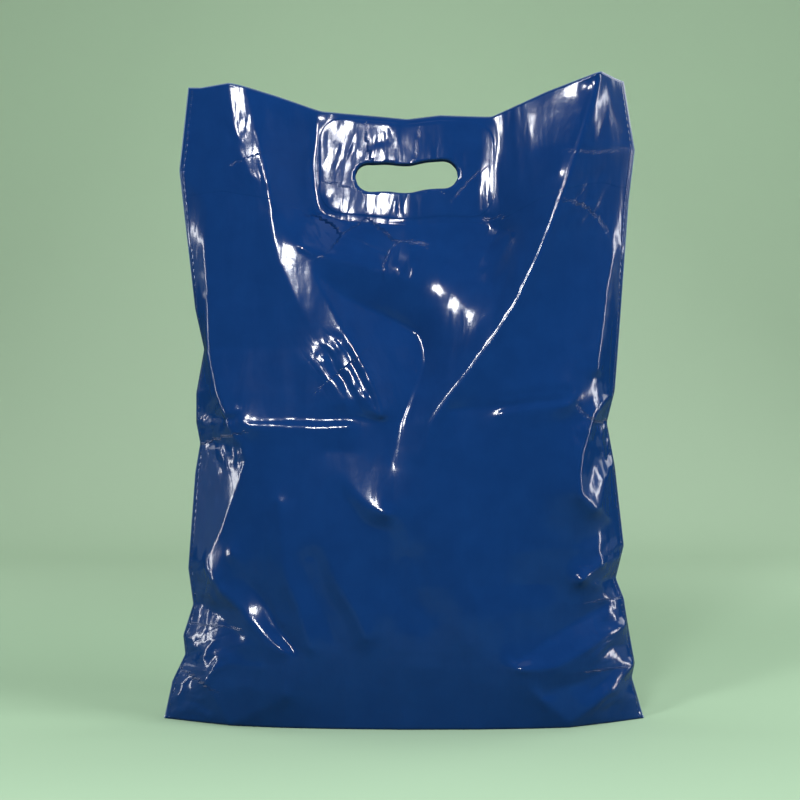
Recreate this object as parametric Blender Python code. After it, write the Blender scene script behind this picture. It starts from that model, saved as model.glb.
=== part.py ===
"""A plastic carrier bag with a punched hand hole, standing open on its folded base.

The bag is one welded piece of film: a front wall, a back wall, a base fold that opens into a flat
foot, side welds that run from the floor to the ears of the mouth, and a hem that is turned down
inside all round the mouth. A patch of stiffer film lies in the hem of each wall, round the hand
hole, which is punched through every layer.

Metres, +Z up. The origin is on the floor, under the middle of the bag. The front faces -Y.
The film is drawn thicker than it really is, so that it is a solid wall.
"""

import functools
import math

import bmesh
import bpy
import numpy as np
from mathutils import Vector

MM = 0.001

# The bag as it stands
BASE_WIDTH = 406 * MM
STAND_HEIGHT = 542 * MM
BASE_DEPTH = 102 * MM
BELLY_DEPTH = 122 * MM
MOUTH_DEPTH = 64 * MM

# The stiff film round the hand hole: how far apart its two walls stand, how far it leans back from
# the hem's edge up to the mouth, how far it bows forward in the middle, and how far its right edge
# is turned forward. Its lines across are at these shares of the hem's height below the mouth.
HANDLE_DEPTH = 11 * MM
HANDLE_LEAN = 11 * MM
HANDLE_BOW = 8 * MM
HANDLE_TWIST = 2 * MM
HANDLE_STEPS = 8
HANDLE_LINES = [0.04, 0.5, 1]

# Film, hem and patches
FILM = 0.6 * MM
PATCH_FILM = 0.4 * MM
CLEARANCE = 0.3 * MM
HEM_BELOW_PATCH = 5 * MM
PATCH_WIDTH = 148 * MM
PATCH_HEIGHT = 82 * MM
PATCH_CORNER = 20 * MM
PATCH_BELOW_TOP = 5 * MM
HANDLE_CENTRE = 2 * MM

# Hand hole
HOLE_WIDTH = 87 * MM
HOLE_HEIGHT = 25 * MM
HOLE_BELOW_TOP = 39 * MM
MERGE_DISTANCE = 0.01 * MM

# Base fold: the middle of the foot lifts off the floor along the old crease, and its ends lift into
# tents. Both widths are shares of half the foot's depth.
CREASE_LIFT = 2 * MM
CREASE_HALF_WIDTH = 9 * MM
END_LIFT = 24 * MM
END_LENGTH = 70 * MM
TENT_WIDTH = 0.6
WIDEST_CREASE = 0.8

# Grid of the film
COLUMNS_EACH_FLANK = 9
COLUMNS_AT_HANDLE = 16
HANDLE_COLUMNS_SPREAD = 1.24
ROWS_OF_BODY = 20
ROWS_OF_HEM = 5
CORNER_STEPS = 8
SHARPEST_BEND = 0.45

# How the bag is drawn. The welds, the mouth and the front's fold lines are points of a straight
# front view, as (column, row) in pixels from its top left corner. An eye at this distance sees what
# stands out from the middle plane larger. The drawn bag has the sizes below, in millimetres, and
# the drawing is stretched to the sizes above.
DRAWN_BASE = 406
DRAWN_HEIGHT = 542
DRAWN_BELLY = 122
VIEW_CENTRE = 400
VIEW_MIDDLE = 404
VIEW_FLOOR = 718
VIEW_BASE = 480
EYE_DISTANCE = 1550

LEFT_WELD = [
    (164, 718), (172, 681), (185, 654), (183, 635), (193, 604), (188, 568), (195, 472), (200, 443),
    (196, 422), (196, 393), (204, 349), (195, 309), (186, 231), (179, 170), (188, 87),
]
RIGHT_WELD = [
    (644, 718), (632, 677), (635, 663), (627, 618), (624, 598), (616, 578), (624, 545), (615, 466),
    (607, 422), (615, 390), (619, 338), (629, 200), (635, 150), (624, 81),
]
MOUTH_EDGE = [
    (188, 87), (201, 88), (230, 85), (239, 87), (276, 97), (323, 111), (406, 120), (438, 116),
    (489, 117), (543, 95), (598, 77), (614, 80), (624, 81),
]

# The open ears of the mouth: (across as a share of half the base, out as a share of half the
# mouth's depth)
FRONT_LEFT_EAR = [(-0.905, 0), (-0.725, 0.41), (-0.66, 0.47), (-0.49, 0.22)]
FRONT_RIGHT_EAR = [(0.567, 0.5), (0.817, 1), (0.93, 0)]
BACK_LEFT_EAR = [(-0.905, 0), (-0.78, 0.37), (-0.69, 0.53), (-0.55, 0.34)]
BACK_RIGHT_EAR = [(0.567, 0.47), (0.817, 0.84), (0.93, 0)]

# The foot's outline: (across as a share of half the base, out as a share of half its depth)
FRONT_FOOT = [
    (-1, 0), (-0.86, 0.33), (-0.7, 0.7), (-0.49, 0.9), (-0.3, 1), (0, 1.08), (0.3, 1.06),
    (0.52, 0.98), (0.67, 0.88), (0.85, 0.43), (1, 0),
]
BACK_FOOT = [
    (-1, 0), (-0.85, 0.39), (-0.69, 0.7), (-0.48, 0.88), (-0.27, 0.98), (0, 1.02), (0.3, 1.02),
    (0.52, 0.96), (0.69, 0.82), (0.86, 0.39), (1, 0),
]

# Fold lines that give the slumped film its form. In front each point is (column, row) of the front
# view and millimetres out from the middle plane.
FRONT_FOLDS = {
    "left ear ridge": [
        (246, 88, 15), (259, 142, 23.5), (266, 167, 27.5), (270, 207, 33), (272, 235, 37),
        (279, 263, 41), (296, 299, 46.5), (319, 338, 50.5), (345, 371, 54),
    ],
    "right ear ridge": [
        (600, 77, 30), (590, 110, 35), (579, 143, 40), (569, 176, 44), (551, 224, 49),
        (535, 262, 53), (518, 300, 55.5),
    ],
    "right shoulder": [
        (518, 300, 55.5), (489, 345, 57.5), (458, 385, 59), (444, 405, 60), (422, 444, 61.5),
        (408, 475, 62.5), (391, 507, 64),
    ],
    "peak to plate": [(308, 219, 22), (301, 248, 39)],
    "second ridge": [
        (301, 248, 39), (316, 276, 43.5), (329, 302, 47), (339, 322, 49.5), (349, 345, 52),
        (362, 365, 54.5), (375, 391, 57), (382, 417, 58.5),
    ],
    "first facet edge": [
        (301, 248, 39), (330, 257, 37), (360, 266, 34), (396, 276, 30), (414, 279, 28),
    ],
    "first hollow": [
        (322, 278, 38), (340, 295, 34), (375, 312, 28), (400, 324, 26), (419, 334, 27),
    ],
    "upright crease": [
        (406, 220, 20), (405, 230, 22), (410, 263, 26.5), (414, 279, 28), (417, 306, 27),
        (419, 334, 27),
    ],
    "inner right ridge": [(487, 233, 18), (462, 252, 21), (434, 276, 25)],
    "outer right ridge": [(505, 236, 20), (477, 276, 26), (458, 305, 29)],
    "corner right": [(487, 219, 14), (505, 236, 20)],
    "long hollow": [
        (476, 285, 27), (452, 338, 31), (428, 385, 43), (412, 425, 52), (404, 444, 56),
        (391, 507, 63),
    ],
    "tip ridge": [(325, 449, 60), (345, 480, 64.5), (368, 507, 68.5), (388, 515, 69.5)],
    "left packing crease": [
        (240, 420, 49), (255, 420, 50.5), (300, 420, 53), (347, 419, 55), (382, 418, 56.5),
    ],
    "left packing lip": [(246, 426, 52.5), (300, 426, 56.5), (350, 426, 59)],
    "left packing brow": [(250, 413, 52.5), (300, 413, 55.5), (350, 412, 57)],
    "right packing crease": [(452, 410, 57.5), (490, 406, 56.5), (520, 403, 55), (577, 397, 48.5)],
    "right packing lip": [(500, 413, 59.5), (520, 410, 58.5), (570, 404, 53)],
    "right packing brow": [(500, 399, 59), (520, 396, 58), (568, 391, 52)],
    "turn under": [(380, 655, 66), (430, 660, 66.5), (480, 660, 65)],
    "left corner": [(182, 172, 2), (207, 203, 15), (205, 260, 17), (207, 310, 22), (206, 349, 24)],
    "left side fold": [
        (206, 349, 24), (214, 380, 34), (225, 414, 42), (236, 440, 47), (247, 460, 50),
    ],
    "left notch": [(206, 349, 24), (204.5, 349, 3)],
    "left dimple": [(196, 418, 4), (212, 416, 18), (240, 422, 50)],
    "left cheek": [(203, 446, 6), (222, 470, 28), (247, 460, 50)],
    "left cheek ridge": [
        (247, 460, 50), (238, 490, 46), (222, 530, 38), (205, 562, 26), (192, 569, 4),
    ],
    "left shin ridge": [(205, 562, 26), (221, 592, 44), (250, 622, 56), (287, 654, 64)],
    "left shin hollow": [(231, 552, 48), (255, 590, 49), (275, 622, 54), (293, 649, 60)],
    "left low edge": [(184, 638, 4), (205, 640, 22), (228, 643, 40), (248, 646, 54)],
    "left low hollow": [(192, 610, 4), (215, 612, 25), (240, 638, 46)],
    "left low lobe": [
        (190, 655, 8), (204, 660, 28), (214, 667, 38), (230, 662, 46), (262, 668, 59),
    ],
    "left foot ridge": [(205, 677, 34), (218, 700, 38), (230, 724, 38)],
    "left foot vertex": [(205, 677, 34), (245, 686, 52), (286, 696, 61)],
    "left foot fan": [(286, 696, 61), (258, 710, 50), (231, 725, 38)],
    "right corner": [(620, 236, 4), (608, 280, 18), (603, 330, 28), (598, 370, 36)],
    "right notch ridge": [
        (614, 395, 4), (603, 402, 26), (592, 422, 40), (583, 450, 50), (580, 472, 53),
        (581, 496, 54),
    ],
    "right notch hollow": [(607, 422, 3), (600, 436, 24), (592, 470, 36), (588, 490, 44)],
    "right cheek": [(613, 462, 10), (604, 480, 30), (598, 511, 42), (581, 496, 54)],
    "right mid facet": [(621, 556, 6), (600, 566, 34), (581, 581, 52)],
    "right mid hollow": [(581, 581, 52), (598, 584, 32), (615, 586, 5)],
    "right upper hollow": [(617, 601, 12), (580, 620, 38), (545, 644, 54), (513, 665, 63)],
    "right upper lip": [(626, 625, 16), (590, 648, 47), (555, 668, 58), (518, 671, 66)],
    "right lower hollow": [(634, 661, 10), (600, 675, 36), (570, 688, 48), (540, 697, 57)],
    "right foot edge": [(513, 665, 66), (540, 697, 60), (569, 723, 48)],
    "right foot ridge": [(634, 666, 12), (612, 690, 34), (590, 708, 44), (569, 723, 48)],
}

# The back isn't in that view: (across, up, out) in millimetres of the drawn bag
BACK_FOLDS = {
    "left ear ridge": [
        (-140, 533, 17), (-128, 500, 24), (-118, 450, 33), (-100, 400, 42), (-80, 350, 48),
        (-58, 300, 53), (-35, 262, 57), (-10, 225, 60), (0, 195, 61),
    ],
    "right ear ridge": [
        (166, 543, 27), (158, 500, 34), (140, 440, 42), (118, 390, 48), (92, 340, 52),
        (60, 300, 55), (30, 262, 58), (12, 228, 60), (0, 195, 61),
    ],
    "long hollow": [(0, 420, -9), (2, 380, 4), (0, 330, 22), (-2, 280, 38), (-2, 235, 52)],
    "left facet ridge": [
        (-71, 426, 4), (-62, 392, 20), (-48, 350, 30), (-34, 300, 43), (-20, 262, 52),
    ],
    "right facet ridge": [(70, 424, 0), (64, 390, 14), (50, 340, 29), (36, 300, 43), (22, 258, 53)],
    "left facet hollow": [(-88, 400, 28), (-72, 350, 35), (-56, 300, 45)],
    "left packing crease": [(-158, 252, 34), (-120, 250, 48), (-60, 251, 53), (-15, 252, 56)],
    "left packing lip": [(-120, 242, 55), (-60, 243, 60), (-18, 244, 61)],
    "left packing brow": [(-120, 261, 55), (-60, 262, 59)],
    "right packing crease": [(18, 262, 56), (60, 264, 53), (110, 267, 48), (152, 271, 38)],
    "right packing lip": [(40, 254, 60), (100, 257, 56), (140, 262, 48)],
    "right packing brow": [(45, 273, 58), (105, 277, 54)],
    "left side fold": [(-176, 330, 3), (-160, 305, 24), (-148, 270, 42), (-138, 232, 50)],
    "left notch": [(-172, 292, 3), (-158, 280, 24)],
    "left cheek": [(-172, 218, 5), (-152, 204, 30), (-138, 232, 50)],
    "left cheek ridge": [(-138, 232, 50), (-146, 190, 44), (-158, 158, 30), (-176, 136, 5)],
    "left low ridge": [(-182, 100, 4), (-160, 92, 28), (-128, 78, 52), (-96, 62, 60)],
    "left low hollow": [(-180, 122, 4), (-158, 116, 26), (-120, 100, 51)],
    "left foot hollow": [(-188, 62, 4), (-160, 58, 28), (-124, 48, 50)],
    "left foot ridge": [(-192, 38, 6), (-164, 34, 32), (-124, 26, 50)],
    "left soft ridge": [(-108, 210, 61), (-100, 150, 64), (-84, 90, 66)],
    "left soft hollow": [(-86, 190, 59), (-76, 130, 61), (-62, 80, 63)],
    "right side fold": [(182, 345, 4), (160, 330, 26), (150, 296, 40), (146, 250, 50)],
    "right notch": [(176, 262, 3), (160, 255, 26), (146, 250, 50)],
    "right cheek": [(180, 212, 6), (158, 200, 32), (140, 216, 52)],
    "right mid hollow": [(184, 150, 4), (156, 142, 32), (126, 132, 52)],
    "right low ridge": [(186, 118, 6), (150, 104, 36), (112, 94, 58), (84, 88, 63)],
    "right low hollow": [(190, 84, 6), (152, 72, 33), (112, 68, 54)],
    "right foot ridge": [(194, 54, 8), (160, 50, 36), (118, 42, 57)],
    "right foot fan": [(118, 42, 57), (148, 20, 42), (176, 6, 24)],
    "right soft ridge": [(98, 205, 61), (104, 150, 63), (92, 110, 64)],
    "middle soft ridge": [(30, 180, 62), (44, 120, 66), (52, 70, 66)],
    "middle soft hollow": [(4, 160, 60), (14, 110, 62), (20, 70, 63)],
    "turn under": [(-70, 50, 62), (0, 45, 63), (60, 50, 63)],
}

# The film between the fold lines: its grid, how far each of the finest squares swells over its
# neighbours' mean, and the solver's squares and sweeps, coarse to fine
FORM_COLUMNS = 88
FORM_ROWS = 120
SWELL = 0.005 * MM
SWEEPS = {8: 300, 4: 300, 2: 240, 1: 200}
OVERSHOOT = 1.7
STEPS_ALONG_FOLD = 150

BLUE_FILM = (0.012, 0.036, 0.145, 1)
BLUE_FILM_ROUGHNESS = 0.2
PATCH_BLUE = (0.02, 0.05, 0.17, 1)
PATCH_ROUGHNESS = 0.35


def clear_scene():
    for leftover in list(bpy.data.objects):
        bpy.data.objects.remove(leftover)


def film_material(name, colour, roughness):
    material = bpy.data.materials.new(name)
    material.use_nodes = True
    shader = material.node_tree.nodes["Principled BSDF"]
    shader.inputs["Base Color"].default_value = colour
    shader.inputs["Roughness"].default_value = roughness
    shader.inputs["Metallic"].default_value = 0
    return material


def between(stations, at):
    """The value at a place along a list of (place, value) stations."""
    places, values = zip(*stations)
    return np.interp(at, places, values)


def seen(column, row, out=0):
    """Across and up in drawn millimetres for a point of the front view, out from the middle."""
    nearer = 1 - out / EYE_DISTANCE
    across = (column - VIEW_CENTRE) * nearer + VIEW_CENTRE - VIEW_MIDDLE
    up = (VIEW_CENTRE - row) * nearer + VIEW_FLOOR - VIEW_CENTRE
    return across * DRAWN_BASE / VIEW_BASE, up * DRAWN_BASE / VIEW_BASE


def weld_across(weld, up):
    """How far across a side weld is at a height, both as shares of the drawn bag's sizes."""
    places = [seen(column, row) for column, row in weld]
    shares = [(high / DRAWN_HEIGHT, across / (DRAWN_BASE / 2)) for across, high in places]
    return between(shares, up)


def mouth_height(across):
    """Height of the mouth's edge as a share, at a share from -1 at the left weld to 1."""
    places = [seen(column, row) for column, row in MOUTH_EDGE]
    left, right = places[0][0], places[-1][0]
    shares = [((x - left) / (right - left) * 2 - 1, up / DRAWN_HEIGHT) for x, up in places]
    return between(shares, across)


def mouth_low():
    """The lowest point of the mouth's edge, over the hand hole."""
    lowest = max(row for _, row in MOUTH_EDGE)
    return seen(VIEW_CENTRE, lowest)[1] / DRAWN_HEIGHT * STAND_HEIGHT


def hem_height():
    """The hem is turned down far enough to hold the patch."""
    return PATCH_BELOW_TOP + PATCH_HEIGHT + HEM_BELOW_PATCH


def handle_out(side, down, front):
    """How far the stiff film round the hand hole stands out from the middle plane. side runs from
    -1 to 1 across the patch, and down from 0 at the mouth to 1 at the hem's edge. Both walls lean
    back and bow forward together, so that they stay side by side."""
    out = HANDLE_DEPTH / 2 + HANDLE_LEAN * (down - 0.5)
    out += HANDLE_BOW * (1 - side**2) + HANDLE_TWIST * side
    return out if front else HANDLE_DEPTH - out


def handle_lines(front):
    """Fold lines round and across the stiff film: across, up and out in metres."""
    sides = np.linspace(-1, 1, HANDLE_STEPS + 1)
    lines = [[(side, down) for side in sides] for down in HANDLE_LINES]
    lines += [[(side, down) for down in HANDLE_LINES] for side in (-1, 1)]
    placed = []
    for line in lines:
        placed.append([
            (
                HANDLE_CENTRE + side * PATCH_WIDTH / 2,
                mouth_low() - hem_height() * down,
                handle_out(side, down, front),
            )
            for side, down in line
        ])
    return placed


def mouth_line(front):
    """The mouth's edge seen from above: open at both ears, nearly closed at the handle."""
    left = FRONT_LEFT_EAR if front else BACK_LEFT_EAR
    right = FRONT_RIGHT_EAR if front else BACK_RIGHT_EAR
    handle = []
    for side in np.linspace(-1, 1, HANDLE_STEPS + 1):
        across = HANDLE_CENTRE + side * PATCH_WIDTH / 2
        handle.append((across, handle_out(side, 0, front)))
    ears = [
        [(across * BASE_WIDTH / 2, out * MOUTH_DEPTH / 2) for across, out in ear]
        for ear in (left, right)
    ]
    return ears[0] + handle + ears[1]


def fold_lines(front):
    """All fold lines of a wall: across, up and out in metres."""
    folds = FRONT_FOLDS if front else BACK_FOLDS
    lines = []
    for line in folds.values():
        places = [(*seen(a, b, out), out) if front else (a, b, out) for a, b, out in line]
        lines.append([
            (
                across / DRAWN_BASE * BASE_WIDTH,
                up / DRAWN_HEIGHT * STAND_HEIGHT,
                out / DRAWN_BELLY * BELLY_DEPTH,
            )
            for across, up, out in places
        ])
    return lines + handle_lines(front)


def pinned_film(front):
    """Where the folds, mouth, foot and welds hold the film, and how far out, on the form's grid."""
    out = np.zeros((FORM_ROWS + 1, FORM_COLUMNS + 1))
    held = np.zeros(out.shape, bool)
    half = BASE_WIDTH / 2
    for line in fold_lines(front):
        corners = np.arange(len(line))
        steps = np.linspace(0, len(line) - 1, STEPS_ALONG_FOLD * (len(line) - 1) + 1)
        x, z, y = (np.interp(steps, corners, values) for values in zip(*line))
        left = weld_across(LEFT_WELD, z / STAND_HEIGHT) * half
        right = weld_across(RIGHT_WELD, z / STAND_HEIGHT) * half
        share = np.clip((x - left) / (right - left), 0, 1)
        height = np.clip(z / STAND_HEIGHT / mouth_height(share * 2 - 1), 0, 1)
        place = np.rint(height * FORM_ROWS).astype(int), np.rint(share * FORM_COLUMNS).astype(int)
        out[place] = y
        held[place] = True
    shares = np.linspace(0, 1, FORM_COLUMNS + 1)
    foot = FRONT_FOOT if front else BACK_FOOT
    out[0] = between(foot, shares * 2 - 1) * BASE_DEPTH / 2
    top = mouth_height(shares * 2 - 1)
    left, right = weld_across(LEFT_WELD, top) * half, weld_across(RIGHT_WELD, top) * half
    out[-1] = between(mouth_line(front), left + (right - left) * shares)
    out[:, [0, -1]] = 0
    held[[0, -1]] = True
    held[:, [0, -1]] = True
    return out, held


@functools.cache
def film_form(front):
    """How far a wall stands out everywhere: slack film that hangs between its fold lines."""
    pins, held = pinned_film(front)
    row, column = np.nonzero(held)
    out = np.full((2, 2), BELLY_DEPTH / 2)
    for size, sweeps in SWEEPS.items():
        shape = FORM_ROWS // size + 1, FORM_COLUMNS // size + 1
        near = np.rint(row / size).astype(int), np.rint(column / size).astype(int)
        total, count = np.zeros(shape), np.zeros(shape)
        np.add.at(total, near, pins[row, column])
        np.add.at(count, near, 1)
        target = total / np.maximum(count, 1)
        up, across = np.meshgrid(*(np.linspace(0, 1, n) for n in shape), indexing="ij")
        out = look_up(out, up, across)
        odd = np.indices(shape).sum(0) % 2
        for sweep in range(2 * sweeps):
            slack = out.copy()
            mean = (out[:-2, 1:-1] + out[2:, 1:-1] + out[1:-1, :-2] + out[1:-1, 2:]) / 4
            slack[1:-1, 1:-1] += OVERSHOOT * (mean + SWELL * size**2 - out[1:-1, 1:-1])
            slack = np.where(count > 0, target, slack)
            out = np.where(odd == sweep % 2, slack, out)
    return out


def look_up(grid, up, across):
    """The value of a grid at shares of its height and width from 0 to 1."""
    row = np.asarray(up) * (grid.shape[0] - 1)
    column = np.asarray(across) * (grid.shape[1] - 1)
    low_row = np.minimum(row.astype(int), grid.shape[0] - 2)
    low_column = np.minimum(column.astype(int), grid.shape[1] - 2)
    row, column = row - low_row, column - low_column
    low = grid[low_row, low_column] * (1 - column) + grid[low_row, low_column + 1] * column
    high = grid[low_row + 1, low_column] * (1 - column)
    high += grid[low_row + 1, low_column + 1] * column
    return low * (1 - row) + high * row


def wall_point(across, up, front):
    """A point of the film's outer face. across runs from -1 at the left weld to 1 at the right,
    and up from 0 at the floor to 1 at the mouth's edge."""
    height = up * mouth_height(across)
    left, right = weld_across(LEFT_WELD, height), weld_across(RIGHT_WELD, height)
    x = (left + (right - left) * (across + 1) / 2) * BASE_WIDTH / 2
    depth = float(look_up(film_form(front), up, (across + 1) / 2))
    return Vector((x, -depth if front else depth, height * STAND_HEIGHT))


def columns_across():
    """The grid's places across a wall, closer together over the handle."""
    handle = PATCH_WIDTH / BASE_WIDTH * HANDLE_COLUMNS_SPREAD
    places = []
    for step in range(COLUMNS_EACH_FLANK):
        places.append(-1 + (1 - handle) * step / COLUMNS_EACH_FLANK)
    for step in range(COLUMNS_AT_HANDLE):
        places.append(-handle + 2 * handle * step / COLUMNS_AT_HANDLE)
    for step in range(COLUMNS_EACH_FLANK + 1):
        places.append(handle + (1 - handle) * step / COLUMNS_EACH_FLANK)
    return places


def rows_up():
    """The grid's places up a wall: the body, then the hem, whose rows end at the mouth's edge."""
    hem_from = 1 - hem_height() / mouth_low()
    body = [hem_from * step / ROWS_OF_BODY for step in range(ROWS_OF_BODY)]
    hem = [hem_from + (1 - hem_from) * step / ROWS_OF_HEM for step in range(ROWS_OF_HEM + 1)]
    return body + hem


def walls_mesh():
    """The outer face of both walls, as rings of points round the bag, one ring for each row: along
    the front from the left weld to the right one, and back along the rear wall."""
    there = columns_across()
    places = [(across, True) for across in there] + [(across, False) for across in there[-2:0:-1]]
    rows = rows_up()
    bm = bmesh.new()
    rings = []
    for up in rows:
        rings.append([bm.verts.new(wall_point(across, up, front)) for across, front in places])
    for row, (lower, upper) in enumerate(zip(rings, rings[1:])):
        for step, (across, _) in enumerate(places):
            after = (step + 1) % len(places)
            middle_across = (across + places[after][0]) / 2
            middle_up = (rows[row] + rows[row + 1]) / 2
            centre = wall_point(middle_across, middle_up, step < len(there) - 1)
            two_facets(bm, (lower[step], lower[after], upper[after], upper[step]), centre)
    return bm, rings


def two_facets(bm, corners, centre):
    """A square of the grid, parted along the diagonal that lies nearer to the film."""
    one, two, three, four = corners
    rising = ((one.co + three.co) / 2 - centre).length
    falling = ((two.co + four.co) / 2 - centre).length
    if rising < falling:
        bm.faces.new((one, two, three))
        bm.faces.new((one, three, four))
    else:
        bm.faces.new((one, two, four))
        bm.faces.new((two, three, four))


def points_behind(bm, distance):
    """For each vertex, the point that lies this far behind the facets which meet there."""
    bm.normal_update()
    places = []
    for vertex in bm.verts:
        closeness = min(vertex.normal.dot(face.normal) for face in vertex.link_faces)
        places.append(vertex.co - vertex.normal * (distance / max(SHARPEST_BEND, closeness)))
    return places


def hem_offset():
    """How far behind the outer face the turned-down film shows its own outer face."""
    return 2 * FILM + PATCH_FILM + 2 * CLEARANCE


def base_fold(bm, front_row, back_row):
    """The foot between the bottom edges of the two walls: flat on the floor, with the base fold's
    crease lifted along the middle and its ends lifted into tents towards the side welds."""
    rows = [[front_row[0]]]
    for front, back in zip(front_row[1:-1], back_row[1:-1]):
        half = (back.co.y - front.co.y) / 2
        from_end = BASE_WIDTH / 2 - abs(front.co.x)
        tent = max(0, 1 - abs(from_end - END_LENGTH / 2) / (END_LENGTH / 2))
        crease = min(CREASE_HALF_WIDTH + half * TENT_WIDTH * tent, half * WIDEST_CREASE)
        middle = (front.co.y + back.co.y) / 2
        lift = CREASE_LIFT + END_LIFT * tent
        spots = [(middle - crease, 0), (middle, lift), (middle + crease, 0)]
        rows.append([front, *[bm.verts.new((front.co.x, y, z)) for y, z in spots], back])
    rows.append([front_row[-1]])
    for this, after in zip(rows[1:-2], rows[2:-1]):
        for spot in range(4):
            bm.faces.new((this[spot], this[spot + 1], after[spot + 1], after[spot]))
    for spot in range(4):
        bm.faces.new((rows[0][0], rows[1][spot + 1], rows[1][spot]))
        bm.faces.new((rows[-1][0], rows[-2][spot], rows[-2][spot + 1]))


def join_rings(bm, lower, upper):
    for step in range(len(lower)):
        after = (step + 1) % len(lower)
        bm.faces.new((lower[step], lower[after], upper[after], upper[step]))


def object_from(bm, name, material):
    mesh = bpy.data.meshes.new(name)
    bm.to_mesh(mesh)
    bm.free()
    mesh.materials.append(material)
    mesh.shade_smooth()
    mesh.set_sharp_from_angle(angle=math.radians(40))
    made = bpy.data.objects.new(name, mesh)
    bpy.context.scene.collection.objects.link(made)
    return made


def give_thickness(sheet, thickness):
    """Thickness goes behind the face that was modelled."""
    solid = sheet.modifiers.new("Film thickness", "SOLIDIFY")
    solid.thickness = thickness
    solid.offset = -1
    solid.use_even_offset = True
    solid.use_rim = True


def boolean(target, cutter, operation):
    step = target.modifiers.new(f"{operation.title()} {cutter.name}", "BOOLEAN")
    step.object = cutter
    step.operation = operation
    step.solver = "EXACT"


def rounded_prism(name, middle_height, width, height, corner):
    """A helper solid that runs right through the handle, front to back: a rectangle with round
    corners, centred on the handle."""
    bm = bmesh.new()
    outline = []
    for turn, (side, end) in enumerate([(1, 1), (-1, 1), (-1, -1), (1, -1)]):
        x = HANDLE_CENTRE + side * (width / 2 - corner)
        z = middle_height + end * (height / 2 - corner)
        for step in range(CORNER_STEPS + 1):
            angle = math.radians(90) * (turn + step / CORNER_STEPS)
            place = (x + corner * math.cos(angle), -BELLY_DEPTH / 2, z + corner * math.sin(angle))
            outline.append(bm.verts.new(place))
    bmesh.ops.remove_doubles(bm, verts=outline, dist=MERGE_DISTANCE)
    face = bm.faces.new([vertex for vertex in outline if vertex.is_valid])
    grown = bmesh.ops.extrude_face_region(bm, geom=[face])
    moved = [part for part in grown["geom"] if isinstance(part, bmesh.types.BMVert)]
    bmesh.ops.translate(bm, verts=moved, vec=(0, BELLY_DEPTH, 0))
    bmesh.ops.recalc_face_normals(bm, faces=bm.faces)
    helper = object_from(bm, name, bpy.data.materials["bag_film"])
    helper.hide_render = True
    helper.display_type = "WIRE"
    return helper


def build_bag(material):
    """The whole film: foot, walls, the fold round the mouth and the hem inside it."""
    bm, rings = walls_mesh()
    behind = points_behind(bm, hem_offset())
    bm.verts.index_update()
    columns = len(columns_across())
    outside = rings[-1]
    covered = [vertex for ring in rings[-1 - ROWS_OF_HEM :] for vertex in ring]
    facets = [face for face in bm.faces if set(covered).issuperset(face.verts)]
    hem = bmesh.ops.duplicate(bm, geom=[*covered, *facets])["vert_map"]
    for vertex in covered:
        hem[vertex].co = behind[vertex.index]
    inside = [hem[vertex] for vertex in outside]
    fold = []
    for outer, inner in zip(outside, inside):
        fold.append(bm.verts.new((outer.co + inner.co) / 2 + Vector((0, 0, hem_offset() / 2))))
    join_rings(bm, outside, fold)
    join_rings(bm, fold, inside)
    base_fold(bm, rings[0][:columns], [rings[0][0], *reversed(rings[0][columns - 1 :])])
    bmesh.ops.recalc_face_normals(bm, faces=bm.faces)
    bag = object_from(bm, "bag_film", material)
    give_thickness(bag, FILM)
    return bag


def build_patch(name, front, outline, material):
    """A sheet that follows its wall inside the hem, trimmed to a rounded rectangle."""
    bm, rings = walls_mesh()
    behind = points_behind(bm, FILM + CLEARANCE)
    columns = len(columns_across())
    wall = slice(1, columns - 1) if front else slice(columns, len(rings[0]))
    near = PATCH_WIDTH / 2 + PATCH_CORNER
    kept = set()
    for ring in rings[-1 - ROWS_OF_HEM :]:
        kept.update(vertex for vertex in ring[wall] if abs(vertex.co.x - HANDLE_CENTRE) < near)
    for vertex, place in zip(bm.verts, behind):
        vertex.co = place
    others = [vertex for vertex in bm.verts if vertex not in kept]
    bmesh.ops.delete(bm, geom=others, context="VERTS")
    patch = object_from(bm, name, material)
    give_thickness(patch, PATCH_FILM)
    boolean(patch, outline, "INTERSECT")
    return patch


def main():
    clear_scene()
    blue = film_material("bag_film", BLUE_FILM, BLUE_FILM_ROUGHNESS)
    patch_blue = film_material("patch_film", PATCH_BLUE, PATCH_ROUGHNESS)
    bag = build_bag(blue)
    patch_middle = mouth_low() - PATCH_BELOW_TOP - PATCH_HEIGHT / 2
    outline = rounded_prism("patch_outline", patch_middle, PATCH_WIDTH, PATCH_HEIGHT, PATCH_CORNER)
    hole_middle = mouth_low() - HOLE_BELOW_TOP - HOLE_HEIGHT / 2
    hole = rounded_prism("hand_hole", hole_middle, HOLE_WIDTH, HOLE_HEIGHT, HOLE_HEIGHT / 2)
    front_patch = build_patch("handle_patch_front", True, outline, patch_blue)
    back_patch = build_patch("handle_patch_back", False, outline, patch_blue)
    for punched in (bag, front_patch, back_patch):
        boolean(punched, hole, "DIFFERENCE")


main()
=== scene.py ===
"""A plastic carrier bag of glossy blue film, standing open and empty on its base fold.

The film's form comes in three steps. Fold lines say where the creased film lies. A membrane joins
them into a guide for each wall. Then the wall is relaxed as film that hardly stretches, with a
little spare film where the real bag is crumpled, so that it buckles into small folds there. The
sheets that show are cut flat, with the hand hole in them, and laid on the relaxed film.

The form is worked out in millimetres; everything that Blender holds is in metres. The front faces -Y.
"""

import math

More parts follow.
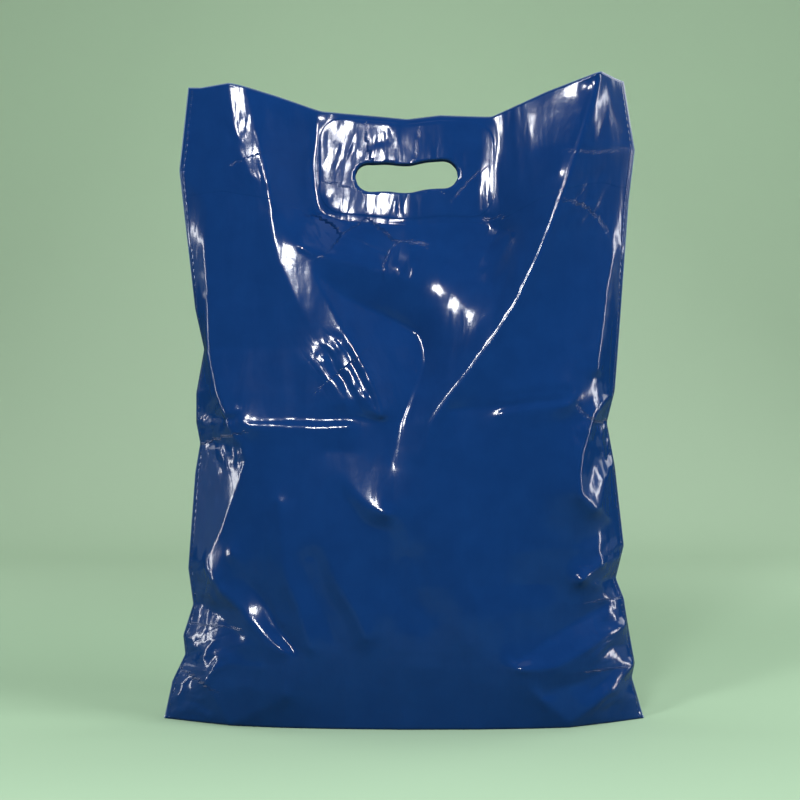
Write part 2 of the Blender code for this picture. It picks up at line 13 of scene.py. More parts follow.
import bmesh
import bpy
import numpy as np
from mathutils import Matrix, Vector


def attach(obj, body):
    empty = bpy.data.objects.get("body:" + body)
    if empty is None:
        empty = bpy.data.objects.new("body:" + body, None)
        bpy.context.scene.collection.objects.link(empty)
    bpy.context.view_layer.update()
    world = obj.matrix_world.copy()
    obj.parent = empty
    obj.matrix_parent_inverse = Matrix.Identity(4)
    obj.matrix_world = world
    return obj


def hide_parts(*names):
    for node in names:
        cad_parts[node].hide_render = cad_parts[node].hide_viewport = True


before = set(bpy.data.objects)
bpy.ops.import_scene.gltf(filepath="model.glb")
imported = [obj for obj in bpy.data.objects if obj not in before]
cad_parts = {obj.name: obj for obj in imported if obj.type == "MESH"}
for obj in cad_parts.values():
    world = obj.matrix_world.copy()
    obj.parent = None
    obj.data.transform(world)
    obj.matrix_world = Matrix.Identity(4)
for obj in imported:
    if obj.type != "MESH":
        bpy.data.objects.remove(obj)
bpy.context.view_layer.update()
MM = 0.001

# The bag's own measures, in mm

HALF_WIDTH = 203.0
HANDLE_CENTRE = 2.0
HOLE_WIDTH = 87.0
HOLE_HEIGHT = 25.0
HOLE_BELOW_MOUTH = 52.0  # the hole's middle line
HOLE_TILT = 3 / 62
HOLE_WAVE = 0.5  # the hole's middle line waves a little
HOLE_WAVE_LENGTH = 5
PATCH_WIDTH = 148.0
PATCH_HEIGHT = 82.0
PATCH_CORNER = 20.0
PATCH_BELOW_MOUTH = 46.0  # the patch's middle line
PATCH_BEHIND = 0.3
PATCH_PROUD = 0.25  # how far out the wall stands over the patch
PATCH_FADE = 3  # width of the slope round that
PATCH_SQUARE = 2
PATCH_TURNS = 6  # turns that bring the patch's squares to their flat size
PATCH_CENTRE = np.array([0, PATCH_BELOW_MOUTH])
PATCH_STRAIGHT = np.array([PATCH_WIDTH, PATCH_HEIGHT]) / 2 - PATCH_CORNER  # half its straight sides
HEM_DEPTH = 92.0
HEM_BEHIND = 0.55
HEM_TURN = 6  # twice the depth over which the hem parts from the wall
FILM = 0.22
PATCH_FILM = 0.15
WELD_INSET = 4.5  # the side weld's bead from the film's cut edge
GRAIN_STRETCH = 3.5  # small folds are this many times longer than they are wide
GRAIN_APART = 50.0  # keeps the grains of two crumpled places from looking alike
BASE_CREASE = 2  # the base fold's middle crease above the floor
TENT_HEIGHT = 22  # of the tents at its ends
TENT_REACH = 35
LIFT_FROM = 0.7  # the foot leaves the floor over this last share of the way to the crease
LIFT_OVER = 0.3
TINY = 1e-6  # keeps a length from being zero where it divides

# The relaxed film's grid over one wall, and the guide's
SQUARES_ACROSS = 176
SQUARES_UP = 240
SQUARE_WIDTH = 2 * HALF_WIDTH / SQUARES_ACROSS
HANDLE_ROWS = 40  # rows of the wall beside the patch
FINER = 2  # the guide's grid has this many squares for each of the film's
MEMBRANE_ROUNDS = [(16, 400), (8, 400), (4, 400), (2, 240), (1, 120)]  # squares joined, turns
MEMBRANE_START = 45.0
MEMBRANE_STRIDE = 1.7  # above 1, so that it settles sooner
SWELL = 0.005  # how much the film swells out between its fold lines
PIN_STEPS = 300  # from one point of a fold line to the next
GUIDE_SOFTENING = 5
LOOSE = 0.65  # fold lines that hold less firmly than this are rounded
ROUND_REACH = 60
ROUND_TURNS = 260
ROUND_STRENGTH = 1.6
WELD_FADE = 8  # crumples fade in over this many columns from a weld
HOLD_BESIDE = 0.9  # firmness of a point beside a held one, as a share of that one's

# Small folds of a crumpled place: how widely they lie and turn, then their least and greatest
# length, width and height, as shares of the place's own
SCATTER = 0.42
TURN_SCATTER = 24
FOLD_LENGTHS = (0.25, 0.6)
FOLD_WIDTHS = (0.1, 0.26)
FOLD_HEIGHTS = (0.4, 1)
SPARE_REACH = 0.6
CREASED_REACH = 0.7

# The relaxing
RELAX_ROUNDS = [(4, 300), (2, 200), (1, 120)]  # squares joined, turns
SHAKE = 0.4  # mm by which the film starts off the guide, so that it can buckle
BENDING = 0.02  # how much each turn straightens the film
LEAST_HOLD = 0.01  # how much each turn pulls the film back to the guide
FOLD_HOLD = 0.05
SIDEWAYS_HOLD = 0.3
SPARE_EVERYWHERE = 0.0025  # spare film, as a share of its length
SPARE_IN_CRUMPLES = 0.006
MEASURE_TURNS = 30

# Rows of the sheet below the wall, as shares of the way to the middle of the foot, and rows of the
# hem, as mm below the mouth's edge
FOOT_ROWS = [0.02, 0.07, 0.16, 0.3, 0.45, 0.6, 0.75, 0.88, 1.0]
HEM_ROWS = [0.5, 2, 5, 9, 14, 20, 26, 32, 39, 46, 52, 58, 65, 72, 79, 86, 92]

# The photo's view of the bag. The welds, the mouth and the front's fold lines are points of it, as
# (column, row) in pixels, and an eye at this distance sees what stands out larger.
VIEW_CENTRE = 400
VIEW_MIDDLE = 404
VIEW_FLOOR = 718
VIEW_BASE = 480
EYE_DISTANCE = 1550

LEFT_WELD = [
    (164, 718), (172, 681), (185, 654), (183, 635), (193, 604), (188, 568), (195, 472), (200, 443),
    (196, 422), (196, 393), (204, 349), (195, 309), (186, 231), (179, 170), (188, 87),
]
RIGHT_WELD = [
    (644, 718), (632, 677), (635, 663), (627, 618), (624, 598), (616, 578), (624, 545), (615, 466),
    (607, 422), (615, 390), (619, 338), (629, 200), (635, 150), (624, 81),
]
MOUTH = [
    (188, 87), (201, 88), (230, 85), (239, 87), (276, 97), (323, 111), (406, 120), (438, 116),
    (489, 117), (543, 95), (598, 77), (614, 80), (624, 81),
]

# Foot outline: (across, in front of or behind the middle)
FRONT_FOOT = [
    (-203, 0), (-175, 17), (-143, 36), (-100, 46), (-60, 51), (0, 55), (60, 54), (105, 50),
    (136, 45), (172, 22), (203, 0),
]
BACK_FOOT = [
    (-203, 0), (-172, 20), (-140, 36), (-98, 45), (-55, 50), (0, 52), (60, 52), (105, 49),
    (140, 42), (175, 20), (203, 0),
]

# Fold lines: how firmly the film is held there, and its points. In front a point is (column, row) of
# the view and millimetres out from the middle plane. The back isn't in that view: a point there is
# (across, up, out) in millimetres.
FRONT_FOLDS = [
    ("mouth", 1, [
        (187, 86, 0), (230, 87, 13), (246, 88, 15), (285, 99, 7), (316, 110, -2), (345, 113.5, 1),
        (375, 116, 4), (405, 119, 6), (440, 116, 6), (465, 116, 4), (487, 117, 3), (540, 96, 16),
        (600, 77, 32), (627, 82, 0),
    ]),
    ("left shoulder", 1, [
        (230, 87, 13), (234, 120, 18), (238, 150, 22), (256, 178, 27.4), (268, 207, 31.5),
    ]),
    ("left ear ridge", 1, [
        (246, 88, 15), (259, 142, 23.5), (266, 167, 27.5), (270, 207, 33), (272, 235, 36),
        (279, 263, 39), (296, 299, 43), (319, 338, 46), (345, 371, 52),
    ]),
    ("right ear ridge", 0.7, [
        (600, 77, 30), (590, 110, 35), (579, 143, 40), (569, 176, 44), (551, 224, 49),
        (535, 262, 53), (518, 300, 55.5),
    ]),
    ("right ear facet", 0.8, [(588, 84, 28), (578, 114, 31.5), (567, 147, 36.5), (559, 172, 40.5)]),
    ("right shoulder", 0.8, [(518, 300, 55.5), (487, 345, 58.5), (452, 392, 60.5), (415, 460, 63)]),
    ("plate top", 1, [
        (316, 122, -1), (345, 120, 3), (375, 121, 6), (405, 124, 8), (440, 122, 8), (465, 122, 6),
        (487, 122, 4),
    ]),
    ("plate left", 0.7, [(316, 122, -1), (313, 160, 2), (314, 190, 6), (318, 214, 9)]),
    ("plate right", 0.5, [(487, 122, 4), (488, 160, 8), (487, 190, 11), (487, 216, 13)]),
    ("plate middle", 0.4, [(345, 122, 3), (345, 165, 9), (345, 214, 15)]),
    ("plate middle", 0.4, [(405, 122, 8), (405, 160, 13), (405, 220, 20)]),
    ("plate middle", 0.4, [(466, 122, 6), (466, 165, 11), (466, 216, 16)]),
    ("plate foot", 1, [
        (318, 214, 9), (341, 219, 15), (372, 222, 18), (405, 221, 20), (440, 221, 18),
        (487, 216, 13),
    ]),
    ("peak to plate", 1, [(308, 219, 22), (301, 248, 39)]),
    ("second ridge", 1, [
        (301, 248, 37), (316, 276, 40), (329, 302, 42.5), (339, 322, 45), (349, 345, 49),
        (362, 365, 53), (375, 391, 58), (382, 417, 61.5),
    ]),
    ("first facet edge", 1, [
        (301, 248, 39), (330, 257, 37), (360, 266, 34), (396, 276, 32), (414, 279, 32),
    ]),
    ("first hollow", 0.8, [
        (322, 278, 38), (340, 295, 34), (375, 312, 28), (400, 324, 26), (419, 334, 27),
    ]),
    ("upright crease", 1, [
        (406, 220, 20), (405, 230, 23), (410, 263, 30), (414, 279, 32), (417, 306, 30.5),
        (419, 334, 28),
    ]),
    ("inner right ridge", 0.7, [(487, 233, 16.4), (462, 252, 21.5), (446, 264, 25)]),
    ("outer right ridge", 0.35, [(505, 236, 19), (482, 268, 27)]),
    ("corner right", 1, [(487, 219, 14), (505, 236, 19)]),
    ("corner right foot", 1, [(487, 219, 14), (487, 233, 16.4), (505, 236, 19)]),
    ("long hollow", 1, [
        (419, 334, 28), (424, 362, 36), (413, 394, 46.5), (400, 428, 54.5), (392, 465, 60.5),
    ]),
    ("tip ridge", 1, [(325, 449, 57), (345, 480, 62.5), (368, 507, 68.5), (388, 515, 73)]),
    ("tip top", 0.8, [(325, 449, 57), (355, 451, 59), (388, 500, 67)]),
    ("tip foot", 0.8, [(340, 492, 62), (362, 521, 65), (388, 530, 66)]),
    ("crumple middle", 1, [(333, 338, 46.5), (345, 365, 51), (362, 395, 57), (380, 417, 61)]),
    ("crumple valley", 1, [(341, 338, 46), (353, 365, 50), (368, 394, 55.5), (379, 413, 59.5)]),
    ("crumple left valley", 1, [(326, 346, 46), (338, 371, 49.5), (354, 398, 55)]),
    ("crumple left ridge", 1, [(315, 352, 48.5), (328, 376, 52), (345, 402, 57)]),
    ("crumple edge", 1, [(307, 361, 48.5), (320, 382, 51), (337, 405, 56)]),
    ("left packing crease", 1, [
        (240, 420, 49), (255, 420, 50.5), (300, 420, 53), (347, 419, 55), (382, 418, 56.5),
    ]),
    ("left packing lip", 0.8, [(246, 426, 52.5), (300, 426, 56.5), (350, 426, 59)]),
    ("right packing crease", 1, [
        (452, 410, 57.5), (490, 406, 56.5), (520, 403, 55), (577, 397, 48.5),
    ]),
    ("right packing lip", 0.8, [(500, 413, 59.5), (520, 410, 58.5), (570, 404, 53)]),
    ("right packing brow", 0.6, [(500, 399, 59), (520, 396, 58), (568, 391, 52)]),
    ("turn under", 0.5, [(380, 655, 66), (430, 660, 66.5), (480, 660, 65)]),
    ("left corner", 1, [
        (182, 172, 2), (207, 203, 15), (205, 260, 17), (207, 310, 22), (206, 349, 24),
    ]),
    ("left side fold", 1, [
        (206, 349, 24), (214, 380, 34), (225, 414, 42), (236, 440, 47), (247, 460, 50),
    ]),
    ("left notch", 1, [(206, 349, 24), (204.5, 349, 3)]),
    ("left dimple", 1, [(196, 418, 4), (212, 416, 18), (240, 422, 50)]),
    ("left cheek", 1, [(203, 446, 6), (222, 470, 28), (247, 460, 50)]),
    ("left cheek ridge", 0.9, [
        (247, 460, 50), (238, 490, 46), (222, 530, 38), (205, 562, 26), (192, 569, 4),
    ]),
    ("left shin ridge", 1, [(205, 562, 26), (221, 592, 44), (250, 622, 57.5), (287, 654, 66)]),
    ("left shin hollow", 1, [(231, 552, 48), (255, 590, 49), (275, 622, 54), (293, 649, 60)]),
    ("left soft ridge", 0.8, [(278, 500, 61), (284, 560, 64), (300, 620, 67), (312, 650, 67)]),
    ("left soft hollow", 0.6, [(262, 540, 55), (270, 590, 55), (284, 622, 58)]),
    ("middle soft ridge", 0.8, [(305, 500, 61), (330, 560, 66), (352, 610, 69), (367, 640, 70.5)]),
    ("middle soft hollow", 0.6, [(310, 560, 59.5), (328, 610, 60.5), (345, 640, 63)]),
    ("right soft ridge", 0.6, [(452, 500, 65), (462, 570, 68), (470, 640, 69)]),
    ("right soft hollow", 0.6, [(492, 520, 61), (500, 580, 61.5), (496, 640, 64)]),
    ("belly soft hollow", 0.6, [(405, 560, 63.5), (416, 620, 64.5)]),
    ("left low edge", 1, [(184, 638, 4), (205, 640, 22), (228, 643, 40), (248, 646, 54)]),
    ("left low hollow", 1, [(192, 610, 4), (215, 612, 25), (240, 638, 46)]),
    ("left low lobe", 1, [
        (190, 655, 8), (204, 660, 28), (214, 667, 38), (230, 662, 46), (262, 668, 59),
    ]),
    ("left foot hollow", 1, [(176, 672, 2), (192, 680, 18), (205, 677, 31)]),
    ("left foot ridge", 1, [(205, 677, 34), (218, 700, 39), (230, 724, 38)]),
    ("left foot vertex", 1, [(205, 677, 34), (245, 686, 52), (286, 696, 61)]),
    ("left foot fan", 1, [(286, 696, 61), (258, 710, 50), (231, 725, 38)]),
    ("left foot fan up", 0.9, [(286, 696, 61), (282, 670, 63), (287, 654, 64)]),
    ("left toe", 0.8, [(170, 700, 4), (190, 706, 18), (212, 716, 28)]),
    ("right corner", 0.8, [(620, 236, 4), (608, 280, 18), (603, 330, 28), (598, 370, 36)]),
    ("right notch ridge", 1, [
        (614, 395, 4), (603, 402, 26), (592, 422, 40), (583, 450, 50), (580, 472, 53),
        (581, 496, 54),
    ]),
    ("right notch hollow", 1, [(607, 422, 3), (600, 436, 24), (592, 470, 36), (588, 490, 44)]),
    ("right cheek", 1, [(613, 462, 10), (604, 480, 30), (598, 511, 42), (581, 496, 54)]),
    ("right cheek hollow", 0.9, [(598, 511, 40), (612, 522, 16), (621, 524, 3)]),
    ("right mid facet", 1, [(621, 556, 6), (600, 566, 34), (581, 581, 52)]),
    ("right mid hollow", 1, [(581, 581, 52), (598, 584, 32), (615, 586, 5)]),
    ("right upper hollow", 1, [(617, 601, 12), (580, 620, 36.5), (545, 644, 51.5), (513, 665, 62)]),
    ("right upper lip", 1, [(626, 625, 16), (590, 648, 48.5), (555, 668, 61), (518, 671, 68.5)]),
    ("right lower hollow", 1, [(634, 661, 10), (600, 675, 36), (570, 688, 48), (540, 697, 57)]),
    ("right foot edge", 1, [(513, 665, 66), (540, 697, 60), (569, 723, 48)]),
    ("right foot ridge", 1, [(634, 666, 12), (612, 690, 34), (590, 708, 44), (569, 723, 48)]),
    ("right toe", 0.8, [(640, 698, 4), (620, 700, 20), (608, 712, 26)]),
]
BACK_FOLDS = [
    ("mouth", 1, [
        (-184, 533, 0), (-158, 534, 12), (-140, 533, 17), (-112, 524, 11), (-74, 514, 12),
        (-50, 509, 8), (-25, 507, 5), (2, 507, 3), (30, 508, 3), (52, 508, 5), (70, 507, 7),
        (115, 524, 15), (166, 543, 27), (189, 538, 0),
    ]),
    ("left ear ridge", 1, [
        (-140, 533, 17), (-128, 500, 24), (-118, 450, 33), (-100, 400, 42), (-80, 350, 48),
        (-58, 300, 53), (-35, 262, 57), (-10, 225, 60), (0, 195, 61),
    ]),
    ("right ear ridge", 1, [
        (166, 543, 27), (158, 500, 34), (140, 440, 42), (118, 390, 48), (92, 340, 52),
        (60, 300, 55), (30, 262, 58), (12, 228, 60), (0, 195, 61),
    ]),
    ("plate top", 1, [
        (-72, 508, 12), (-48, 507, 8), (-24, 504, 5), (0, 502, 3), (30, 503, 3), (52, 503, 5),
        (70, 503, 7),
    ]),
    ("plate left", 0.7, [(-72, 508, 12), (-75, 470, 9), (-74, 445, 5), (-71, 426, 2)]),
    ("plate right", 0.5, [(70, 503, 7), (71, 470, 3), (70, 445, 0), (70, 424, -2)]),
    ("plate middle", 0.4, [(-48, 507, 8), (-48, 465, 2), (-48, 424, -4)]),
    ("plate middle", 0.4, [(0, 502, 3), (0, 465, -2), (0, 420, -9)]),
    ("plate middle", 0.4, [(52, 503, 5), (52, 465, 0), (52, 422, -5)]),
    ("plate foot", 1, [
        (-71, 426, 2), (-50, 423, -4), (-26, 421, -7), (0, 420, -9), (30, 421, -7), (52, 422, -5),
        (70, 424, -2),
    ]),
    ("long hollow", 1, [(0, 420, -9), (2, 380, 4), (0, 330, 22), (-2, 280, 38), (-2, 235, 52)]),
    ("left facet ridge", 1, [
        (-71, 426, 4), (-62, 392, 20), (-48, 350, 30), (-34, 300, 43), (-20, 262, 52),
    ]),
    ("right facet ridge", 1, [
        (70, 424, 0), (64, 390, 14), (50, 340, 29), (36, 300, 43), (22, 258, 53),
    ]),
    ("left facet hollow", 1, [(-88, 400, 28), (-72, 350, 35), (-56, 300, 45)]),
    ("left packing crease", 1, [
        (-158, 252, 34), (-120, 250, 48), (-60, 251, 53), (-15, 252, 56),
    ]),
    ("left packing lip", 0.8, [(-120, 242, 55), (-60, 243, 60), (-18, 244, 61)]),
    ("left packing brow", 0.7, [(-120, 261, 55), (-60, 262, 59)]),
    ("right packing crease", 1, [(18, 262, 56), (60, 264, 53), (110, 267, 48), (152, 271, 38)]),
    ("right packing lip", 0.8, [(40, 254, 60), (100, 257, 56), (140, 262, 48)]),
    ("right packing brow", 0.6, [(45, 273, 58), (105, 277, 54)]),
    ("left side fold", 1, [(-176, 330, 3), (-160, 305, 24), (-148, 270, 42), (-138, 232, 50)]),
    ("left notch", 1, [(-172, 292, 3), (-158, 280, 24)]),
    ("left cheek", 1, [(-172, 218, 5), (-152, 204, 30), (-138, 232, 50)]),
    ("left cheek ridge", 0.9, [
        (-138, 232, 50), (-146, 190, 44), (-158, 158, 30), (-176, 136, 5),
    ]),
    ("left low ridge", 1, [(-182, 100, 4), (-160, 92, 28), (-128, 78, 52), (-96, 62, 60)]),
    ("left low hollow", 1, [(-180, 122, 4), (-158, 116, 26), (-120, 100, 51)]),
    ("left foot hollow", 1, [(-188, 62, 4), (-160, 58, 28), (-124, 48, 50)]),
    ("left foot ridge", 1, [(-192, 38, 6), (-164, 34, 32), (-124, 26, 50)]),
    ("left soft ridge", 0.8, [(-108, 210, 61), (-100, 150, 64), (-84, 90, 66)]),
    ("left soft hollow", 0.6, [(-86, 190, 59), (-76, 130, 61), (-62, 80, 63)]),
    ("right side fold", 1, [(182, 345, 4), (160, 330, 26), (150, 296, 40), (146, 250, 50)]),
    ("right notch", 1, [(176, 262, 3), (160, 255, 26), (146, 250, 50)]),
    ("right cheek", 1, [(180, 212, 6), (158, 200, 32), (140, 216, 52)]),
    ("right mid hollow", 1, [(184, 150, 4), (156, 142, 32), (126, 132, 52)]),
    ("right low ridge", 1, [(186, 118, 6), (150, 104, 36), (112, 94, 58), (84, 88, 63)]),
    ("right low hollow", 1, [(190, 84, 6), (152, 72, 33), (112, 68, 54)]),
    ("right foot ridge", 1, [(194, 54, 8), (160, 50, 36), (118, 42, 57)]),
    ("right foot fan", 1, [(118, 42, 57), (148, 20, 42), (176, 6, 24)]),
    ("right soft ridge", 0.8, [(98, 205, 61), (104, 150, 63), (92, 110, 64)]),
    ("middle soft ridge", 0.8, [(30, 180, 62), (44, 120, 66), (52, 70, 66)]),
    ("middle soft hollow", 0.6, [(4, 160, 60), (14, 110, 62), (20, 70, 63)]),
    ("turn under", 0.5, [(-70, 50, 62), (0, 45, 63), (60, 50, 63)]),
]

# Crumpled places: (column, row, reach) in pixels of the view in front or (across, up, reach) in
# millimetres at the back, then the small folds' direction in degrees from level, how many there are
# and how far they stand out in millimetres
FRONT_CRUMPLES = [
    (345, 150, 24, 80, 9, 0.7), (335, 205, 20, 84, 8, 0.7), (385, 140, 20, 88, 8, 0.6),
    (400, 206, 24, 88, 9, 0.6), (450, 150, 22, 86, 7, 0.5), (246, 120, 28, 100, 12, 0.6),
    (260, 175, 22, 105, 9, 0.6), (330, 350, 24, -58, 8, 1), (360, 385, 24, -58, 9, 1.1),
    (403, 264, 16, 80, 8, 1), (365, 250, 24, -20, 6, 0.6), (590, 190, 26, 65, 9, 0.55),
    (580, 215, 20, 60, 6, 0.6), (588, 120, 20, 75, 6, 0.45), (212, 420, 26, 60, 10, 2),
    (222, 455, 24, 100, 8, 1.8), (604, 440, 26, 95, 12, 2), (604, 410, 16, 60, 6, 1.5),
    (203, 590, 30, 80, 10, 2), (205, 660, 26, 30, 12, 2.2), (185, 705, 24, 30, 10, 1.8),
    (608, 565, 28, 80, 10, 2), (612, 640, 28, 20, 12, 2.2), (612, 700, 26, 40, 12, 1.8),
    (492, 195, 18, 90, 8, 0.6), (498, 228, 12, 60, 5, 0.8), (320, 228, 14, -60, 6, 0.8),
]
BACK_CRUMPLES = [
    (-120, 440, 30, 105, 14, 1), (140, 420, 30, 75, 14, 1.1), (-40, 330, 24, -60, 10, 1.3),
    (40, 350, 24, 60, 10, 1.3), (-160, 262, 24, 60, 10, 2), (160, 250, 24, 95, 10, 2),
    (-165, 110, 26, 30, 12, 2), (168, 100, 26, 20, 12, 2), (-176, 40, 24, 40, 10, 1.8),
    (176, 40, 24, 30, 10, 1.8), (150, 160, 22, 80, 8, 1.8), (0, 380, 24, 90, 8, 0.8),
]
CRUMPLE_DEPTH = 45  # about how far the crumpled places in front stand out


# The guide of one wall


def along(table, place):
    """The value at a place along a table of (place, value) stations."""
    stations = np.array(table, float)
    return np.interp(place, stations[:, 0], stations[:, 1])


def seen(column, row, out=0.0):
    """Across and up in mm for a point of the view that stands out from the middle plane."""
    nearer = 1 - out / EYE_DISTANCE
    across = (column - VIEW_CENTRE) * nearer + VIEW_CENTRE - VIEW_MIDDLE
    up = (VIEW_CENTRE - row) * nearer + VIEW_FLOOR - VIEW_CENTRE
    return across * 2 * HALF_WIDTH / VIEW_BASE, up * 2 * HALF_WIDTH / VIEW_BASE


def weld_across(weld, up):
    """How far across a side weld is at a height."""
    return along([seen(column, row)[::-1] for column, row in weld], up)


def fold_points(points, front):
    """Across, up and out in mm for the points of a fold line."""
    if not front:
        return np.array(points, float).T
    return np.array([(*seen(column, row, out), out) for column, row, out in points]).T


def crumpled_places(front):
    """Across, up and reach in mm, then direction, count and height."""
    if not front:
        return BACK_CRUMPLES
    scale = 2 * HALF_WIDTH / VIEW_BASE
    return [
        (*seen(column, row, CRUMPLE_DEPTH), reach * scale, *rest)
        for column, row, reach, *rest in FRONT_CRUMPLES
    ]


def sample(values, up, across):
    """Values of a grid between its points, at fractional row and column numbers."""
    row = np.clip(up.astype(int), 0, values.shape[0] - 2)
    column = np.clip(across.astype(int), 0, values.shape[1] - 2)
    u, a = up - row, across - column
    if values.ndim == 3:
        u, a = u[..., None], a[..., None]
    low = values[row, column] * (1 - a) + values[row, column + 1] * a
    high = values[row + 1, column] * (1 - a) + values[row + 1, column + 1] * a
    return low * (1 - u) + high * u


def at(values, grid_place):
    """Values of a grid at a list of (row, column) places."""
    return sample(values, grid_place[:, 0], grid_place[:, 1])


def resample(values, rows, columns):
    """The same field on a finer or coarser grid."""
    up = np.linspace(0, values.shape[0] - 1, rows)
    across = np.linspace(0, values.shape[1] - 1, columns)
    return sample(values, *np.meshgrid(up, across, indexing="ij"))


def beside(values):
    """For every inner point, the sum of the four points beside it."""
    return values[:-2, 1:-1] + values[2:, 1:-1] + values[1:-1, :-2] + values[1:-1, 2:]


def ease(form, share):
    """Moves every inner point a share of the way to the middle of the four beside it."""
    around = form[1:-1, :-2] + form[1:-1, 2:] + form[:-2, 1:-1] + form[2:, 1:-1]
    form[1:-1, 1:-1] += share * (around / 4 - form[1:-1, 1:-1])


def soften(form, turns):
    """The same form with its sharpest edges eased."""
    form = form.copy()
    for _ in range(turns):
        ease(form, 0.5)
    return form


def facing(form):
    """The outward direction at every point of a form."""
    across, up = np.gradient(form, axis=1), np.gradient(form, axis=0)
    normal = np.cross(across, up)
    return normal / np.linalg.norm(normal, axis=-1, keepdims=True)


def flat_outline():
    """Across and up for every point of the guide's grid, seen from the front."""
    share = np.linspace(0, 1, SQUARES_ACROSS * FINER + 1)
    height = np.linspace(0, 1, SQUARES_UP * FINER + 1)
    mouth = [seen(column, row) for column, row in MOUTH]
    left, right = mouth[0][0], mouth[-1][0]
    top = along(mouth, left + (right - left) * share)
    up = height[:, None] * top[None, :]
    left, right = weld_across(LEFT_WELD, up), weld_across(RIGHT_WELD, up)
    return left + (right - left) * share[None, :], up, top


def pin_folds(front, across, top):
    """Targets and firmness on the grid, drawn along the fold lines."""
    firm = np.zeros(across.shape)
    target = np.zeros(across.shape)
    rows, columns = across.shape[0] - 1, across.shape[1] - 1
    share = np.linspace(0, 1, columns + 1)
    for name, firmness, points in FRONT_FOLDS if front else BACK_FOLDS:
        x, z, out = fold_points(points, front)
        left, right = weld_across(LEFT_WELD, z), weld_across(RIGHT_WELD, z)
        column = np.clip((x - left) / (right - left), 0, 1)
        row = z / np.interp(column, share, top)
        if name == "mouth":
            row = np.ones_like(row)
        steps = np.linspace(0, len(points) - 1, PIN_STEPS * (len(points) - 1) + 1)
        place = np.arange(len(points))
        j = np.clip(np.rint(np.interp(steps, place, row) * rows), 0, rows).astype(int)
        i = np.rint(np.interp(steps, place, column) * columns).astype(int)
        stands = np.interp(steps, place, out)
        open_here = firm[j, i] <= firmness
        target[j[open_here], i[open_here]] = stands[open_here]
        firm[j[open_here], i[open_here]] = firmness
    target[0], firm[0] = along(FRONT_FOOT if front else BACK_FOOT, across[0]), 1
    target[:, [0, -1]], firm[:, [0, -1]] = 0, 1
    return target, firm


def rounding(firm):
    """How round the film's ridges are, from 0 to 1: round where a fold line holds it loosely."""
    loose = ((firm > 0) & (firm < LOOSE)).astype(float)
    near = loose
    for _ in range(ROUND_REACH):
        around = near.copy()
        around[1:-1, 1:-1] = beside(near) / 4
        near = np.maximum(loose, around)
    return np.minimum(1, ROUND_STRENGTH * near)


def coarser(target, firm, step):
    """The pinned points gathered onto a coarser grid."""
    shape = tuple((size - 1) // step + 1 for size in target.shape)
    count, weight, total = (np.zeros(shape) for _ in range(3))
    j, i = np.nonzero(firm)
    near = np.rint(j / step).astype(int), np.rint(i / step).astype(int)
    np.add.at(count, near, 1)
    np.add.at(weight, near, firm[j, i])
    np.add.at(total, near, firm[j, i] * target[j, i])
    pinned = count > 0
    total[pinned] /= weight[pinned]
    weight[pinned] /= count[pinned]
    return total, weight


def membrane(target, firm):
    """How far the wall stands out everywhere, as the smoothest sheet through the fold lines."""
    out = None
    for step, turns in MEMBRANE_ROUNDS:
        pin, weight = coarser(target, firm, step)
        out = np.full(pin.shape, MEMBRANE_START) if out is None else resample(out, *pin.shape)
        swell = SWELL * (step / FINER) ** 2 / 4
        row, column = np.indices(pin.shape)
        odd = (row + column) % 2 == 1
        for turn in range(turns):
            average = np.zeros_like(out)
            average[1:-1, 1:-1] = beside(out)
            average[-1, 1:-1] = out[-1, :-2] + out[-1, 2:] + 2 * out[-2, 1:-1]
            moved = out + MEMBRANE_STRIDE * (average / 4 + swell - out)
            moved += weight * (pin - moved)
            out = np.where(odd == (turn % 2 == 1), moved, out)
            out[:, [0, -1]], out[0] = 0, pin[0]
    return out


def crumple(out, across, up, places, noise):
    """Adds small straight folds, like those of film that was crushed, as low tents with sharp
    ridges."""
    for x, z, reach, lean, count, height in places:
        for _ in range(count):
            centre = np.array([x, z]) + noise.normal(0, SCATTER * reach, 2)
            turn = math.radians(lean + noise.normal(0, TURN_SCATTER))
            half = reach * noise.uniform(*FOLD_LENGTHS)
            spread = reach * noise.uniform(*FOLD_WIDTHS)
            size = height * noise.uniform(*FOLD_HEIGHTS) * noise.choice([-1, 1, 1])
            run = np.array([math.cos(turn), math.sin(turn)])
            from_x, from_z = across - centre[0], up - centre[1]
            ahead = np.abs(from_x * run[0] + from_z * run[1]) / half
            aside = np.abs(from_x * run[1] - from_z * run[0]) / spread
            out += size * np.clip(1 - ahead, 0, 1) ** 0.7 * np.clip(1 - aside, 0, 1)
    return out


